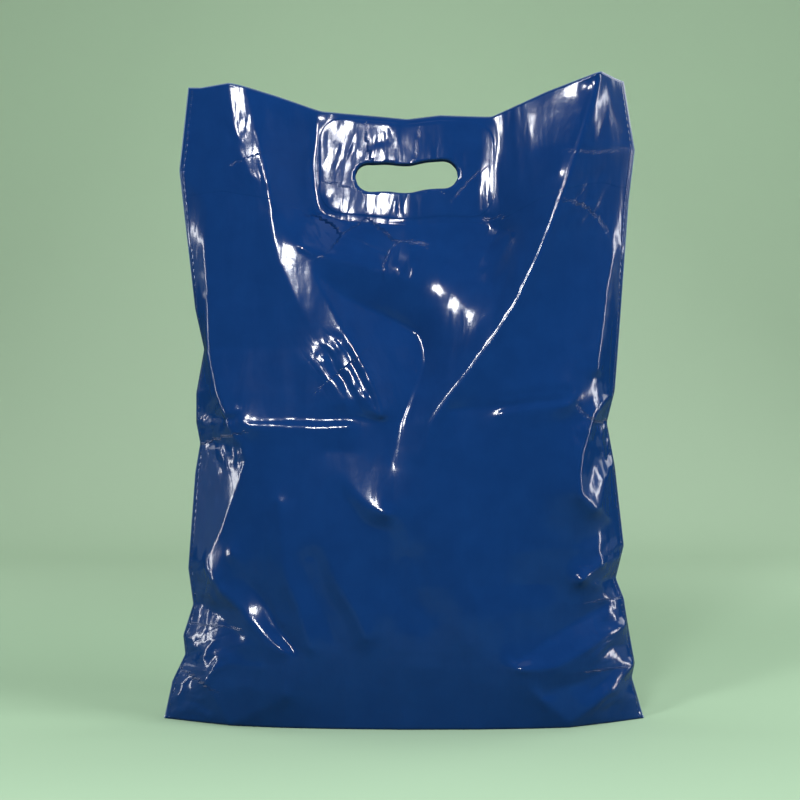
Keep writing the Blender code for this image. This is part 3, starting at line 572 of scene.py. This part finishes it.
def guide(front, places, noise):
    """The guide of a wall, with its columns spaced evenly along the film on either side of the
    handle, and how firmly each point is held."""
    across, up, top = flat_outline()
    target, firm = pin_folds(front, across, top)
    out = membrane(target, firm)
    inner = out.copy()
    crumple(inner, across, up, places, noise)
    column = np.arange(out.shape[1])
    share = np.minimum(1, np.minimum(column, column[::-1]) / WELD_FADE)
    out += (inner - out) * share[None, :]
    form = soften(np.stack([across, -out, up], -1), GUIDE_SOFTENING)
    form += rounding(firm)[..., None] * (soften(form, ROUND_TURNS) - form)
    middle = SQUARES_ACROSS // 2
    even_form = np.empty((SQUARES_UP + 1, SQUARES_ACROSS + 1, 3))
    for j, line in enumerate(form[::FINER]):
        steps = np.linalg.norm(np.diff(line, axis=0), axis=1)
        length = np.concatenate([[0], np.cumsum(steps)])
        centre = np.interp(HANDLE_CENTRE, line[:, 0], length)
        left = np.linspace(0, centre, middle + 1)
        right = np.linspace(centre, length[-1], middle + 1)
        even = np.concatenate([left, right[1:]])
        even_form[j] = np.stack([np.interp(even, length, line[:, k]) for k in range(3)], -1)
    for _ in range(FINER + 1):
        firmest = np.maximum(firm[:-2, 1:-1], firm[2:, 1:-1])
        firmest = np.maximum(firmest, np.maximum(firm[1:-1, :-2], firm[1:-1, 2:]))
        firm[1:-1, 1:-1] = np.maximum(firm[1:-1, 1:-1], firmest * HOLD_BESIDE)
    return even_form, firm[::FINER, ::FINER]


# Relaxing the film


def spare_film(form, places):
    """Spare film across and up, as shares of its length: more of it where the film is crumpled."""
    spare = np.full(form.shape[:2], SPARE_EVERYWHERE)
    for x, z, reach, _, _, height in places:
        apart = (form[..., 0] - x) ** 2 + (form[..., 2] - z) ** 2
        spare += SPARE_IN_CRUMPLES * height * np.exp(-apart / (2 * (SPARE_REACH * reach) ** 2))
    return np.stack([spare, spare], -1)


def strands(rest, spare):
    """The film's threads, in sets that share no point: each as two slices and rest lengths."""
    made = []
    whole, cut_first, cut_last = slice(None), slice(1, None), slice(None, -1)
    pairs = [
        ((whole, cut_last), (whole, cut_first), 1, (1, 0)),
        ((cut_last, whole), (cut_first, whole), 0, (0, 1)),
        ((cut_last, cut_last), (cut_first, cut_first), 0, (0.5, 0.5)),
        ((cut_last, cut_first), (cut_first, cut_last), 0, (0.5, 0.5)),
    ]
    for one, other, axis, mix in pairs:
        length = np.linalg.norm(rest[other] - rest[one], axis=-1)
        extra = (spare[one] + spare[other]) / 2 @ np.array(mix)
        length = (length * (1 + extra)).astype(np.float32)
        for start in (0, 1):
            set_a, set_b, set_l = list(one), list(other), [whole, whole]
            count = (rest.shape[axis] - start) // 2
            set_a[axis] = slice(start, start + 2 * count - 1, 2)
            set_b[axis] = slice(start + 1, start + 2 * count, 2)
            set_l[axis] = slice(start, start + 2 * count - 1, 2)
            made.append((tuple(set_a), tuple(set_b), length[tuple(set_l)]))
    return made


def relax(film, form, spare, hold, turns):
    """Moves the film until its threads have their lengths, near the guide."""
    normal = facing(form)
    threads = strands(form, spare)
    film = film.astype(np.float32)
    for _ in range(turns):
        for one, other, length in threads:
            apart = film[other] - film[one]
            now = np.sqrt((apart * apart).sum(-1))
            apart *= ((now - length) / np.maximum(now, TINY) * 0.5)[..., None]
            film[one] += apart
            film[other] -= apart
        ease(film, BENDING)
        away = form - film
        off = (away * normal).sum(-1, keepdims=True) * normal
        film += hold * off + SIDEWAYS_HOLD * hold * (away - off)
        film[:, [0, -1]], film[0] = form[:, [0, -1]], form[0]
        film[..., 2] = np.maximum(film[..., 2], 0)
    return film


def relaxed_wall(front, seed):
    """The film of one wall, as a grid of points from the foot to the mouth's edge."""
    noise = np.random.default_rng(seed)
    places = crumpled_places(front)
    form, held = guide(front, places, noise)
    spare = spare_film(form, places)
    film = None
    for step, turns in RELAX_ROUNDS:
        rest = form[::step, ::step].astype(np.float32)
        if film is None:
            shake = noise.standard_normal(rest.shape[:2]).astype(np.float32)
            film = rest + facing(rest) * (SHAKE * shake)[..., None]
        else:
            film = resample(film - before, *rest.shape[:2]) + rest
        hold = (LEAST_HOLD + FOLD_HOLD * held[::step, ::step, None]).astype(np.float32)
        film = relax(film, rest, spare[::step, ::step], hold, turns)
        before = rest
    return film


# Sheets laid on the film


def measure(film):
    """Where each point of the film lies on the flat sheet: across from the handle's centre, and
    down from the mouth's edge, in mm."""
    wide = np.linalg.norm(np.diff(film, axis=1), axis=-1)
    high = np.linalg.norm(np.diff(film, axis=0), axis=-1)
    across = np.concatenate([np.zeros((film.shape[0], 1)), np.cumsum(wide, axis=1)], axis=1)
    across -= across[:, [SQUARES_ACROSS // 2]]
    down = np.concatenate([np.cumsum(high[::-1], axis=0)[::-1], np.zeros((1, film.shape[1]))])
    for _ in range(MEASURE_TURNS):
        across[1:-1] += 0.5 * ((across[:-2] + across[2:]) / 2 - across[1:-1])
        down[:, 1:-1] += 0.5 * ((down[:, :-2] + down[:, 2:]) / 2 - down[:, 1:-1])
    return np.stack([across, down], -1)


def stadium(across, down):
    """Distance outside the hand hole's outline, and the nearest point of its middle line."""
    reach = (HOLE_WIDTH - HOLE_HEIGHT) / 2
    centre_x = np.clip(across, -reach, reach)
    wave = HOLE_WAVE * np.cos(centre_x / HOLE_WAVE_LENGTH)
    centre_y = HOLE_BELOW_MOUTH - HOLE_TILT * centre_x + wave
    away = np.hypot(across - centre_x, down - centre_y)
    return away - HOLE_HEIGHT / 2, centre_x, centre_y, away


def grid_steps(flat_grid, grid_place, gap):
    """The steps in rows and columns of the grid that cross a gap on the flat sheet."""
    up = at(np.gradient(flat_grid, axis=0), grid_place)
    over = at(np.gradient(flat_grid, axis=1), grid_place)
    area = over[:, 0] * up[:, 1] - over[:, 1] * up[:, 0]
    columns = (gap[:, 0] * up[:, 1] - gap[:, 1] * up[:, 0]) / area
    rows = (over[:, 0] * gap[:, 1] - over[:, 1] * gap[:, 0]) / area
    return np.stack([rows, columns], -1)


def snap_to_hole(flat_grid, grid_place, flat_now):
    """Moves the points round the hole onto its outline, in rows and columns of the grid."""
    _, centre_x, centre_y, away = stadium(flat_now[:, 0], flat_now[:, 1])
    centre = np.stack([centre_x, centre_y], -1)
    stretch = HOLE_HEIGHT / 2 / np.maximum(away, TINY)
    wanted = centre + (flat_now - centre) * stretch[:, None]
    return grid_place + grid_steps(flat_grid, grid_place, wanted - flat_now), wanted


def add_object(name, data):
    """A new object in the scene."""
    made = bpy.data.objects.new(name, data)
    bpy.context.scene.collection.objects.link(made)
    return made


def smooth_object(name, bm):
    """A smooth-shaded object from a bmesh, which is used up."""
    mesh = bpy.data.meshes.new(name)
    bm.to_mesh(mesh)
    bm.free()
    mesh.shade_smooth()
    return add_object(name, mesh)


def blank(columns, rows):
    """A flat sheet of squares, with its vertices in rows from the bottom left."""
    bm = bmesh.new()
    bmesh.ops.create_grid(bm, x_segments=columns, y_segments=rows, size=0.5)
    number = bm.verts.layers.int.new("number")
    for count, vertex in enumerate(bm.verts):
        vertex[number] = count
    places = np.array([(v.co.x + 0.5, v.co.y + 0.5) for v in bm.verts])
    j = np.rint(places[:, 1] * rows).astype(int)
    i = np.rint(places[:, 0] * columns).astype(int)
    return bm, j, i


def crumpled(places, front):
    """How crumpled the film is at each point, from 0 to 1, and the grain of its small folds: how far
    along and aside of them each point lies, in mm."""
    share = np.zeros(len(places))
    strongest = np.zeros(len(places))
    grain = np.zeros((len(places), 3))
    for number, (x, z, reach, lean, _, height) in enumerate(crumpled_places(front)):
        from_x, from_z = places[:, 0] - x, places[:, 2] - z
        turn = math.radians(lean)
        along_folds = from_x * math.cos(turn) + from_z * math.sin(turn)
        aside = from_z * math.cos(turn) - from_x * math.sin(turn)
        spread = 2 * (CREASED_REACH * reach) ** 2
        here = min(1, height) * np.exp(-(from_x**2 + from_z**2) / spread)
        nearest = here > strongest
        strongest = np.maximum(strongest, here)
        share += here
        apart = np.full(len(places), GRAIN_APART * number)
        grain[nearest] = np.stack([along_folds / GRAIN_STRETCH, aside, apart], -1)[nearest]
    return np.minimum(1, share), grain


def finish_sheet(bm, name, places, flat, sides, front, thickness):
    """Lays a blank on its places, writes its flat measures as the UV map, keeps how crumpled it is,
    the small folds' grain and the way to the side edge as attributes, and gives it thickness behind
    the side that shows. The back is worked out as the front is, and turned round here."""
    turned = (1, 1 if front else -1, 1)
    bm.verts.ensure_lookup_table()
    share = bm.verts.layers.float.new("crumple")
    grain = bm.verts.layers.float_vector.new("grain")
    from_side = bm.verts.layers.float.new("from_side")
    for vertex, place, much, run, side in zip(
        bm.verts, places * MM * turned, *crumpled(places, front), sides * MM
    ):
        vertex.co = place
        vertex[share] = much
        vertex[grain] = run * MM
        vertex[from_side] = side
    if not front:
        bmesh.ops.reverse_faces(bm, faces=bm.faces)
    layer = bm.loops.layers.uv.new("flat")
    for face in bm.faces:
        for loop in face.loops:
            across, down = flat[loop.vert.index]
            loop[layer].uv = (across * MM, -down * MM)
    piece = smooth_object(name, bm)
    solid = piece.modifiers.new("Film thickness", "SOLIDIFY")
    solid.thickness = thickness * MM
    solid.offset = -1
    return piece


def cut_hole(bm, flat_now, grid_place, flat_grid):
    """Deletes the faces inside the hand hole and draws its rim onto the outline."""
    bm.verts.ensure_lookup_table()
    bm.verts.index_update()
    inside = []
    for face in bm.faces:
        middle = sum((flat_now[v.index] for v in face.verts), np.zeros(2)) / len(face.verts)
        if abs(middle[0]) < HOLE_WIDTH and abs(middle[1] - HOLE_BELOW_MOUTH) < HOLE_HEIGHT:
            if stadium(middle[:1], middle[1:])[0][0] < 0:
                inside.append(face)
    doomed = set(inside)
    rim = sorted({
        v.index for face in inside for v in face.verts if any(f not in doomed for f in v.link_faces)
    })
    grid_place[rim], flat_now[rim] = snap_to_hole(flat_grid, grid_place[rim], flat_now[rim])
    bmesh.ops.delete(bm, geom=inside, context="FACES")
    bm.verts.index_update()
    number = bm.verts.layers.int["number"]
    return np.array([v[number] for v in bm.verts])


def lie(film, grid_place):
    """Where places of the grid lie on the film, and which way it faces there."""
    return at(film, grid_place), at(facing(soften(film, 2)), grid_place)


def foot_middle(across):
    """The base fold's middle crease: out of line with the floor, and lifted at its ends."""
    from_end = HALF_WIDTH - np.abs(across)
    tent = np.maximum(0, 1 - np.abs(from_end - TENT_REACH) / TENT_REACH)
    return np.stack([across, np.zeros_like(across), BASE_CREASE + TENT_HEIGHT * tent], -1)


def wall_sheet(name, film, front):
    """One wall with the hem turned down inside it at the mouth and half of the foot."""
    flat_grid = measure(film)
    foot, hem = len(FOOT_ROWS), len(HEM_ROWS)
    bm, row, column = blank(SQUARES_ACROSS, foot + SQUARES_UP + hem)
    wall_row = np.clip(row - foot, 0, SQUARES_UP)
    down_hem = np.array([0, *HEM_ROWS])[np.clip(row - foot - SQUARES_UP, 0, hem)]
    per_row = np.linalg.norm(film[-1] - film[-2], axis=-1)[column]
    grid_place = np.stack([wall_row - down_hem / per_row, column], -1).astype(float)
    grid_place[:, 0] = np.clip(grid_place[:, 0], 0, SQUARES_UP)
    flat_now = at(flat_grid, grid_place)
    is_hem = down_hem > 0
    kept = cut_hole(bm, flat_now, grid_place, flat_grid)
    row, column, grid_place, is_hem = row[kept], column[kept], grid_place[kept], is_hem[kept]
    flat_now, down_hem = flat_now[kept], down_hem[kept]
    places, out = lie(film, grid_place)
    behind = np.where(is_hem, HEM_BEHIND * np.minimum(1, 0.5 + down_hem / HEM_TURN), 0)
    over_patch = np.clip(0.5 - rounded_rectangle(flat_now) / PATCH_FADE, 0, 1)
    places -= out * behind[:, None]
    places += out * (np.where(is_hem, 0, PATCH_PROUD) * over_patch)[:, None]
    below = row < foot
    share = np.array([*reversed(FOOT_ROWS), 0])[np.minimum(row, foot)]
    edge = film[0][column]
    middle = foot_middle(edge[:, 0])
    on_floor = edge + (middle - edge) * share[:, None]
    lift = np.clip((share - LIFT_FROM) / LIFT_OVER, 0, 1)
    on_floor[:, 2] = np.maximum(0, middle[:, 2] * lift)
    places[below] = on_floor[below]
    flat_now[below, 1] += share[below] * np.linalg.norm((middle - edge)[below], axis=-1)
    sides = np.minimum(column, SQUARES_ACROSS - column) * SQUARE_WIDTH
    return finish_sheet(bm, name, places, flat_now, sides, front, FILM)


def rounded_rectangle(flat):
    """Distance outside the patch's outline, in mm."""
    past = np.abs(flat - PATCH_CENTRE) - PATCH_STRAIGHT
    outside = np.linalg.norm(np.maximum(past, 0), axis=-1) - PATCH_CORNER
    return outside + np.minimum(past.max(-1), 0)


def round_corners(flat):
    """Draws the corners of a rectangle of points in, onto the patch's round ones."""
    past = np.abs(flat - PATCH_CENTRE) - PATCH_STRAIGHT
    in_corner = (past > 0).all(-1)
    inward = past.max(-1) / np.maximum(np.linalg.norm(past, axis=-1), TINY)
    inward = np.where(in_corner, inward, 1)[:, None]
    away = np.where(in_corner[:, None], PATCH_STRAIGHT + past * inward, np.abs(flat - PATCH_CENTRE))
    return PATCH_CENTRE + np.sign(flat - PATCH_CENTRE) * away


def patch_sheet(name, film, front):
    """The stiffer sheet inside the hem, with round corners and the hand hole."""
    flat_grid = measure(film)
    columns, rows = round(PATCH_WIDTH / PATCH_SQUARE), round(PATCH_HEIGHT / PATCH_SQUARE)
    bm, row, column = blank(columns, rows)
    wanted = round_corners(np.stack([
        (column / columns - 0.5) * PATCH_WIDTH,
        PATCH_BELOW_MOUTH + (0.5 - row / rows) * PATCH_HEIGHT,
    ], -1))
    row_heights = np.linalg.norm(np.diff(film, axis=0), axis=-1)[-HANDLE_ROWS:]
    grid_place = np.stack([
        SQUARES_UP - wanted[:, 1] / np.mean(row_heights),
        SQUARES_ACROSS / 2 + wanted[:, 0] / SQUARE_WIDTH,
    ], -1)
    for _ in range(PATCH_TURNS):
        grid_place += grid_steps(flat_grid, grid_place, wanted - at(flat_grid, grid_place))
    flat_now = at(flat_grid, grid_place)
    kept = cut_hole(bm, flat_now, grid_place, flat_grid)
    grid_place, flat_now = grid_place[kept], flat_now[kept]
    places, out = lie(film, grid_place)
    places -= out * (PATCH_BEHIND - PATCH_PROUD)
    sides = HALF_WIDTH - np.abs(flat_now[:, 0])
    return finish_sheet(bm, name, places, flat_now, sides, front, PATCH_FILM)


# Materials


class Recipe:
    """A material or node group under construction."""

    def __init__(self, tree):
        self.tree = tree

    def add(self, kind, **settings):
        """A new node with its settings."""
        node = self.tree.nodes.new(kind)
        for name, value in settings.items():
            setattr(node, name, value)
        return node

    def feed(self, socket, value):
        """Links another node's output to a socket, or sets its value."""
        if isinstance(value, bpy.types.NodeSocket):
            self.tree.links.new(value, socket)
        elif value is not None:
            socket.default_value = value

    def math(self, operation, a, b=None):
        """A sum, product or other result of one or two numbers."""
        node = self.add("ShaderNodeMath", operation=operation)
        self.feed(node.inputs[0], a)
        self.feed(node.inputs[1], b)
        return node.outputs[0]

    def vector(self, operation, a, b=None, out="Vector"):
        """The same for vectors."""
        node = self.add("ShaderNodeVectorMath", operation=operation)
        self.feed(node.inputs[0], a)
        self.feed(node.inputs[1], b)
        return node.outputs[out]

    def parts(self, vector):
        """The X, Y and Z of a vector."""
        node = self.add("ShaderNodeSeparateXYZ")
        self.feed(node.inputs[0], vector)
        return node.outputs

    def noise(self, vector, scale, detail, roughness=0.5, distortion=0):
        """Soft random values."""
        node = self.add("ShaderNodeTexNoise")
        self.feed(node.inputs["Vector"], vector)
        node.inputs["Scale"].default_value = scale
        node.inputs["Detail"].default_value = detail
        node.inputs["Roughness"].default_value = roughness
        node.inputs["Distortion"].default_value = distortion
        return node.outputs["Fac"]

    def crease(self, vector, scale, detail):
        """Sharp-edged folds: a noise whose middle value is a crease."""
        noise = self.noise(vector, scale, detail, 0.5, 0.4)
        return self.math("ABSOLUTE", self.math("SUBTRACT", noise, 0.5))

    def ramp(self, value, low, high, to_low=0.0, to_high=1.0):
        """A smooth change from one number to another."""
        node = self.add("ShaderNodeMapRange", interpolation_type="SMOOTHSTEP")
        self.feed(node.inputs["Value"], value)
        node.inputs["From Min"].default_value = low
        node.inputs["From Max"].default_value = high
        node.inputs["To Min"].default_value = to_low
        node.inputs["To Max"].default_value = to_high
        return node.outputs["Result"]

    def mix(self, share, a, b):
        """A share of the way from colour a to colour b."""
        node = self.add("ShaderNodeMix", data_type="RGBA")
        self.feed(node.inputs[0], share)
        self.feed(node.inputs[6], a)
        self.feed(node.inputs[7], b)
        return node.outputs[2]


def linear(red, green, blue):
    """A colour as it looks on a screen, 0 to 255, as the shader wants it."""
    def one(value):
        value /= 255
        return value / 12.92 if value <= 0.04045 else ((value + 0.055) / 1.055) ** 2.4
    return (one(red), one(green), one(blue), 1)


def patch_edge(recipe, flat):
    """Distance outside the patch's outline, on the flat film, in metres."""
    half = (*(PATCH_STRAIGHT * MM), 0)
    moved = recipe.vector("ADD", flat, (0, PATCH_BELOW_MOUTH * MM, 0))
    past = recipe.vector("SUBTRACT", recipe.vector("ABSOLUTE", moved), half)
    round_part = recipe.vector("LENGTH", recipe.vector("MAXIMUM", past, (0, 0, 0)), out="Value")
    return recipe.math("SUBTRACT", round_part, PATCH_CORNER * MM)


# Heights of the film's relief, in metres
PATCH_STEP = 0.00022
HEM_STEP = 0.00012
BEAD = 0.0004
BROAD = 0.0009
DRAPE = 0.0035
STREAKS = 0.00035
CRINKLES = 0.0026
SMALL_CRINKLES = 0.0004
FINE = 0.00008

# Widths over which the relief rises, in metres
STEP_HALF_WIDTH = 0.0009
HEM_HALF_WIDTH = 0.0008
BEAD_HALF_WIDTH = 0.0011

DIMPLES = 1100  # radians of the weld's dimples to a metre
UPRIGHT = (1, 1, 0.22)  # draws streaks and drape out upwards


def film_relief():
    """Node group: the height of the film's fine relief, in metres, from its flat measures."""
    tree = bpy.data.node_groups.new("Film relief", "ShaderNodeTree")
    for name, way, kind in [
        ("Flat", "INPUT", "Vector"), ("Place", "INPUT", "Vector"), ("Height", "OUTPUT", "Float"),
        ("Wear", "OUTPUT", "Float"), ("Painted rim highlight", "OUTPUT", "Float"),
    ]:
        tree.interface.new_socket(name, in_out=way, socket_type="NodeSocket" + kind)
    recipe = Recipe(tree)
    given = recipe.add("NodeGroupInput")
    flat, place = given.outputs["Flat"], given.outputs["Place"]
    down = recipe.parts(flat)["Y"]
    # Patch and hem stand a little proud of the single film
    edge = patch_edge(recipe, flat)
    patch = recipe.ramp(edge, -STEP_HALF_WIDTH, STEP_HALF_WIDTH, PATCH_STEP, 0.0)
    hem_end = -HEM_DEPTH * MM
    hem = recipe.ramp(down, hem_end - HEM_HALF_WIDTH, hem_end + HEM_HALF_WIDTH, 0.0, HEM_STEP)
    # The side weld is a bead near the edge that the welding bar has dimpled
    side = recipe.add("ShaderNodeAttribute", attribute_name="from_side").outputs["Fac"]
    bead = recipe.math("ABSOLUTE", recipe.math("SUBTRACT", side, WELD_INSET * MM))
    bead = recipe.ramp(bead, 0.0, BEAD_HALF_WIDTH, BEAD, 0.0)
    dimples = recipe.math("SINE", recipe.math("MULTIPLY", down, DIMPLES))
    bead = recipe.math("MULTIPLY", bead, recipe.ramp(dimples, -0.4, 0.5, 0.25, 1))
    # Soft unevenness of blown film, the crinkles of crumpled places, and finer ones everywhere
    broad = recipe.math("MULTIPLY", recipe.noise(place, 18, 2), BROAD)
    crumple = recipe.add("ShaderNodeAttribute", attribute_name="crumple").outputs["Fac"]
    grain = recipe.add("ShaderNodeAttribute", attribute_name="grain").outputs["Vector"]
    crinkles = recipe.math("MULTIPLY", recipe.crease(grain, 60, 1), CRINKLES)
    small = recipe.math("MULTIPLY", recipe.crease(grain, 170, 0), SMALL_CRINKLES)
    crinkles = recipe.math("MULTIPLY", recipe.math("ADD", crinkles, small), crumple)
    fine = recipe.math("MULTIPLY", recipe.noise(place, 120, 3, 0.55), FINE)
    upright = recipe.vector("MULTIPLY", place, UPRIGHT)
    streaks = recipe.math("MULTIPLY", recipe.noise(upright, 70, 2, 0.6, 0.3), STREAKS)
    drape = recipe.math("MULTIPLY", recipe.noise(upright, 20, 2, 0.5, 0.4), DRAPE)
    height = fine
    for part in (patch, hem, bead, broad, drape, streaks, crinkles):
        height = recipe.math("ADD", height, part)
    out = recipe.add("NodeGroupOutput")
    recipe.feed(out.inputs["Height"], height)
    recipe.feed(out.inputs["Wear"], recipe.noise(place, 55, 4, 0.6))
    # Painted highlight: a pale rim along the cut edges, at the sides and along the mouth
    cut = recipe.ramp(side, 0.0004, 0.0012, 1.0, 0.0)
    mouth = recipe.ramp(down, -0.0011, -0.0003)
    recipe.feed(out.inputs["Painted rim highlight"], recipe.math("MAXIMUM", cut, mouth))
    return tree


def new_finish(name):
    """A new material, its recipe and its shader."""
    material = bpy.data.materials.new(name)
    material.use_nodes = True
    shader = material.node_tree.nodes["Principled BSDF"]
    return material, Recipe(material.node_tree), shader


DEEP_BLUE = (0.0016, 0.022, 0.11, 1)
BLUE = (0.0036, 0.033, 0.15, 1)
PATCH_DEEP_BLUE = (0.012, 0.04, 0.15, 1)
PATCH_BLUE = (0.016, 0.05, 0.18, 1)
# Painted highlight: the pale colour laid along the film's cut edges, and how much of it
PAINTED_RIM_HIGHLIGHT = (0.3, 0.42, 0.55, 1)
RIM_HIGHLIGHT_SHARE = 0.55
FILM_HAZE = 0.13
PATCH_HAZE = 0.35
GLOSS = 0.33


def film_finish(name, relief, deep, lit, haze):
    """Glossy blue film, a little darker and lighter in places, with a painted highlight along its cut
    edges.
    """
    material, recipe, shader = new_finish(name)
    flat = recipe.add("ShaderNodeUVMap", uv_map="flat").outputs["UV"]
    place = recipe.add("ShaderNodeTexCoord").outputs["Object"]
    group = recipe.add("ShaderNodeGroup", node_tree=relief)
    recipe.feed(group.inputs["Flat"], flat)
    recipe.feed(group.inputs["Place"], place)
    bump = recipe.add("ShaderNodeBump")
    bump.inputs["Strength"].default_value = 1
    bump.inputs["Distance"].default_value = 1
    recipe.feed(bump.inputs["Height"], group.outputs["Height"])
    body = recipe.mix(group.outputs["Wear"], deep, lit)
    # Painted highlight: the cut edges are mixed towards a pale colour
    pale = recipe.math("MULTIPLY", group.outputs["Painted rim highlight"], RIM_HIGHLIGHT_SHARE)
    recipe.feed(shader.inputs["Base Color"], recipe.mix(pale, body, PAINTED_RIM_HIGHLIGHT))
    shader.inputs["Roughness"].default_value = haze
    shader.inputs["IOR"].default_value = 1.5
    shader.inputs["Specular IOR Level"].default_value = GLOSS
    recipe.feed(shader.inputs["Normal"], bump.outputs["Normal"])
    return material


def plain_finish(name, near, far, shaded_in_reflection):
    """Floor and backdrop: pale, with painted shade that makes the floor a little darker near the bag,
    and painted shade that makes it dimmer where a reflection shows it.
    """
    material, recipe, shader = new_finish(name)
    mirrored = recipe.add("ShaderNodeLightPath").outputs["Is Glossy Ray"]
    place = recipe.parts(recipe.add("ShaderNodeTexCoord").outputs["Object"])
    # Painted shade: darker green on the floor near and in front of the bag, paler up the backdrop
    away = recipe.ramp(place["Y"], 0.3, 2.2)
    plain = recipe.mix(away, near, far)
    # Painted shade: reflections on the bag see the sweep in a dimmer green
    recipe.feed(shader.inputs["Base Color"], recipe.mix(mirrored, plain, shaded_in_reflection))
    shader.inputs["Roughness"].default_value = 0.8
    shader.inputs["Specular IOR Level"].default_value = 0.2
    return material


# Stage, lamps and camera


EYE = (-0.0034, -1.55, 0.2692)  # the camera's place, in metres
LENS = 82.4
SENSOR = 36
FURTHEST = 30  # metres away that it still sees

PALE_GREEN = linear(214, 240, 212)
# Painted shade: the floor's darker green near the bag, and the dimmer green that reflections show
SHADED_FLOOR_GREEN = linear(162, 190, 162)
SHADED_REFLECTION_GREEN = linear(92, 116, 96)
ROOM_GREEN = linear(190, 212, 188)
ROOM_SHOWN = 0.2  # the room's least brightness where the camera, gloss or glass shows it

# The sweep's measures, in metres
SWEEP_FRONT = -0.9
SWEEP_LENGTH = 5.6
SWEEP_HALF_WIDTH = 5
SWEEP_BEND = 1.6
SWEEP_RADIUS = 0.9
SWEEP_BELOW = 0.0002

# Lamps: degrees round from the camera with the left negative, degrees up, metres away, width and
# height in metres, and watts
LAMP_AIM = 0.27
LAMPS = {
    "Soft box": (-9, 27, 1.6, 0.16, 0.2, 12),
    "Left soft box": (-29, 33, 1.6, 0.18, 0.2, 10),
    "Left strip": (-92, 4, 1.5, 0.06, 0.7, 4),
    "Right strip": (92, 4, 1.5, 0.06, 0.7, 4),
    "Broad light": (58, 34, 2.2, 1.0, 1.2, 30),
    "Back right": (125, 25, 1.9, 1.0, 1.2, 10),
    "Back left": (-120, 25, 1.9, 1.0, 1.2, 8),
    "Top light": (10, 82, 1.7, 1.4, 0.9, 1.5),
}


def camera():
    """A level view, from in front of the bag's middle."""
    data = bpy.data.cameras.new("Camera")
    data.lens = LENS
    data.sensor_width = SENSOR
    data.clip_end = FURTHEST
    made = add_object("Camera", data)
    made.location = EYE
    made.rotation_euler = (math.radians(90), 0, 0)
    bpy.context.scene.camera = made


def stage():
    """A pale floor that sweeps up into the backdrop behind the bag."""
    bm = bmesh.new()
    bmesh.ops.create_grid(bm, x_segments=2, y_segments=48, size=1)
    for vertex in bm.verts:
        run = (vertex.co.y + 1) / 2 * SWEEP_LENGTH + SWEEP_FRONT
        past = run - SWEEP_BEND
        turn = min(max(past / SWEEP_RADIUS, 0), math.pi / 2)
        y = min(run, SWEEP_BEND) + SWEEP_RADIUS * math.sin(turn)
        z = SWEEP_RADIUS * (1 - math.cos(turn)) + max(0, past - SWEEP_RADIUS * math.pi / 2)
        vertex.co = (vertex.co.x * SWEEP_HALF_WIDTH, y, z - SWEEP_BELOW)
    made = smooth_object("floor_and_backdrop", bm)
    finish = plain_finish("Pale sweep", SHADED_FLOOR_GREEN, PALE_GREEN, SHADED_REFLECTION_GREEN)
    made.data.materials.append(finish)


def lamp(name, azimuth, elevation, distance, width, height, power):
    """A soft rectangular lamp that looks at the bag."""
    data = bpy.data.lights.new(name, "AREA")
    data.shape = "RECTANGLE"
    data.size, data.size_y = width, height
    data.energy = power
    made = add_object(name, data)
    a, e = math.radians(azimuth), math.radians(elevation)
    towards = Vector((math.sin(a) * math.cos(e), -math.cos(a) * math.cos(e), math.sin(e)))
    made.location = Vector((0, 0, LAMP_AIM)) + towards * distance
    made.rotation_euler = towards.to_track_quat("Z", "Y").to_euler()


def room():
    """A dim room in front of the bag and a paler one behind, above and beside it. To the camera,
    gloss and glass it is nowhere darker than a middling green."""
    world = bpy.data.worlds.new("Room")
    bpy.context.scene.world = world
    world.use_nodes = True
    recipe = Recipe(world.node_tree)
    background = world.node_tree.nodes["Background"]
    background.inputs["Color"].default_value = ROOM_GREEN
    way = recipe.parts(recipe.add("ShaderNodeTexCoord").outputs["Generated"])
    behind = recipe.ramp(way["Y"], -0.3, 0.9, 0.03, 0.6)
    above = recipe.ramp(way["Z"], 0.5, 1.0, 0.0, 0.2)
    aside = recipe.ramp(recipe.math("ABSOLUTE", way["X"]), 0.45, 0.95, 0.0, 0.2)
    light = recipe.math("ADD", recipe.math("ADD", behind, above), aside)
    path = recipe.add("ShaderNodeLightPath").outputs
    shows = recipe.math("MAXIMUM", path["Is Glossy Ray"], path["Is Transmission Ray"])
    shows = recipe.math("MAXIMUM", path["Is Camera Ray"], shows)
    shown = recipe.math("MULTIPLY", shows, ROOM_SHOWN)
    recipe.feed(background.inputs["Strength"], recipe.math("MAXIMUM", shown, light))


def lamps():
    """The lamps and the room. The broad light lights the bag but doesn't shine in its gloss."""
    for name, values in LAMPS.items():
        lamp(name, *values)
    bpy.data.objects["Broad light"].visible_glossy = False
    room()


# The scene

FRONT_SEED = 3
BACK_SEED = 5


def make_bag():
    """The two walls and the patches in their hems, in their places in the frame."""
    relief = film_relief()
    film_blue = film_finish("Blue film", relief, DEEP_BLUE, BLUE, FILM_HAZE)
    patch_blue = film_finish("Patch film", relief, PATCH_DEEP_BLUE, PATCH_BLUE, PATCH_HAZE)
    front = relaxed_wall(True, FRONT_SEED)
    back = relaxed_wall(False, BACK_SEED)
    for name, film, is_front in (("front_film", front, True), ("back_film", back, False)):
        piece = wall_sheet(name, film, is_front)
        piece.data.materials.append(film_blue)
        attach(piece, "root")
        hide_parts("bag_film")
    for name, film, is_front in (("patch_front", front, True), ("patch_back", back, False)):
        piece = patch_sheet(name, film, is_front)
        piece.data.materials.append(patch_blue)
        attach(piece, "root")
        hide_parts("handle_" + name)


bpy.context.scene.view_settings.view_transform = "Standard"
camera()
stage()
lamps()
make_bag()
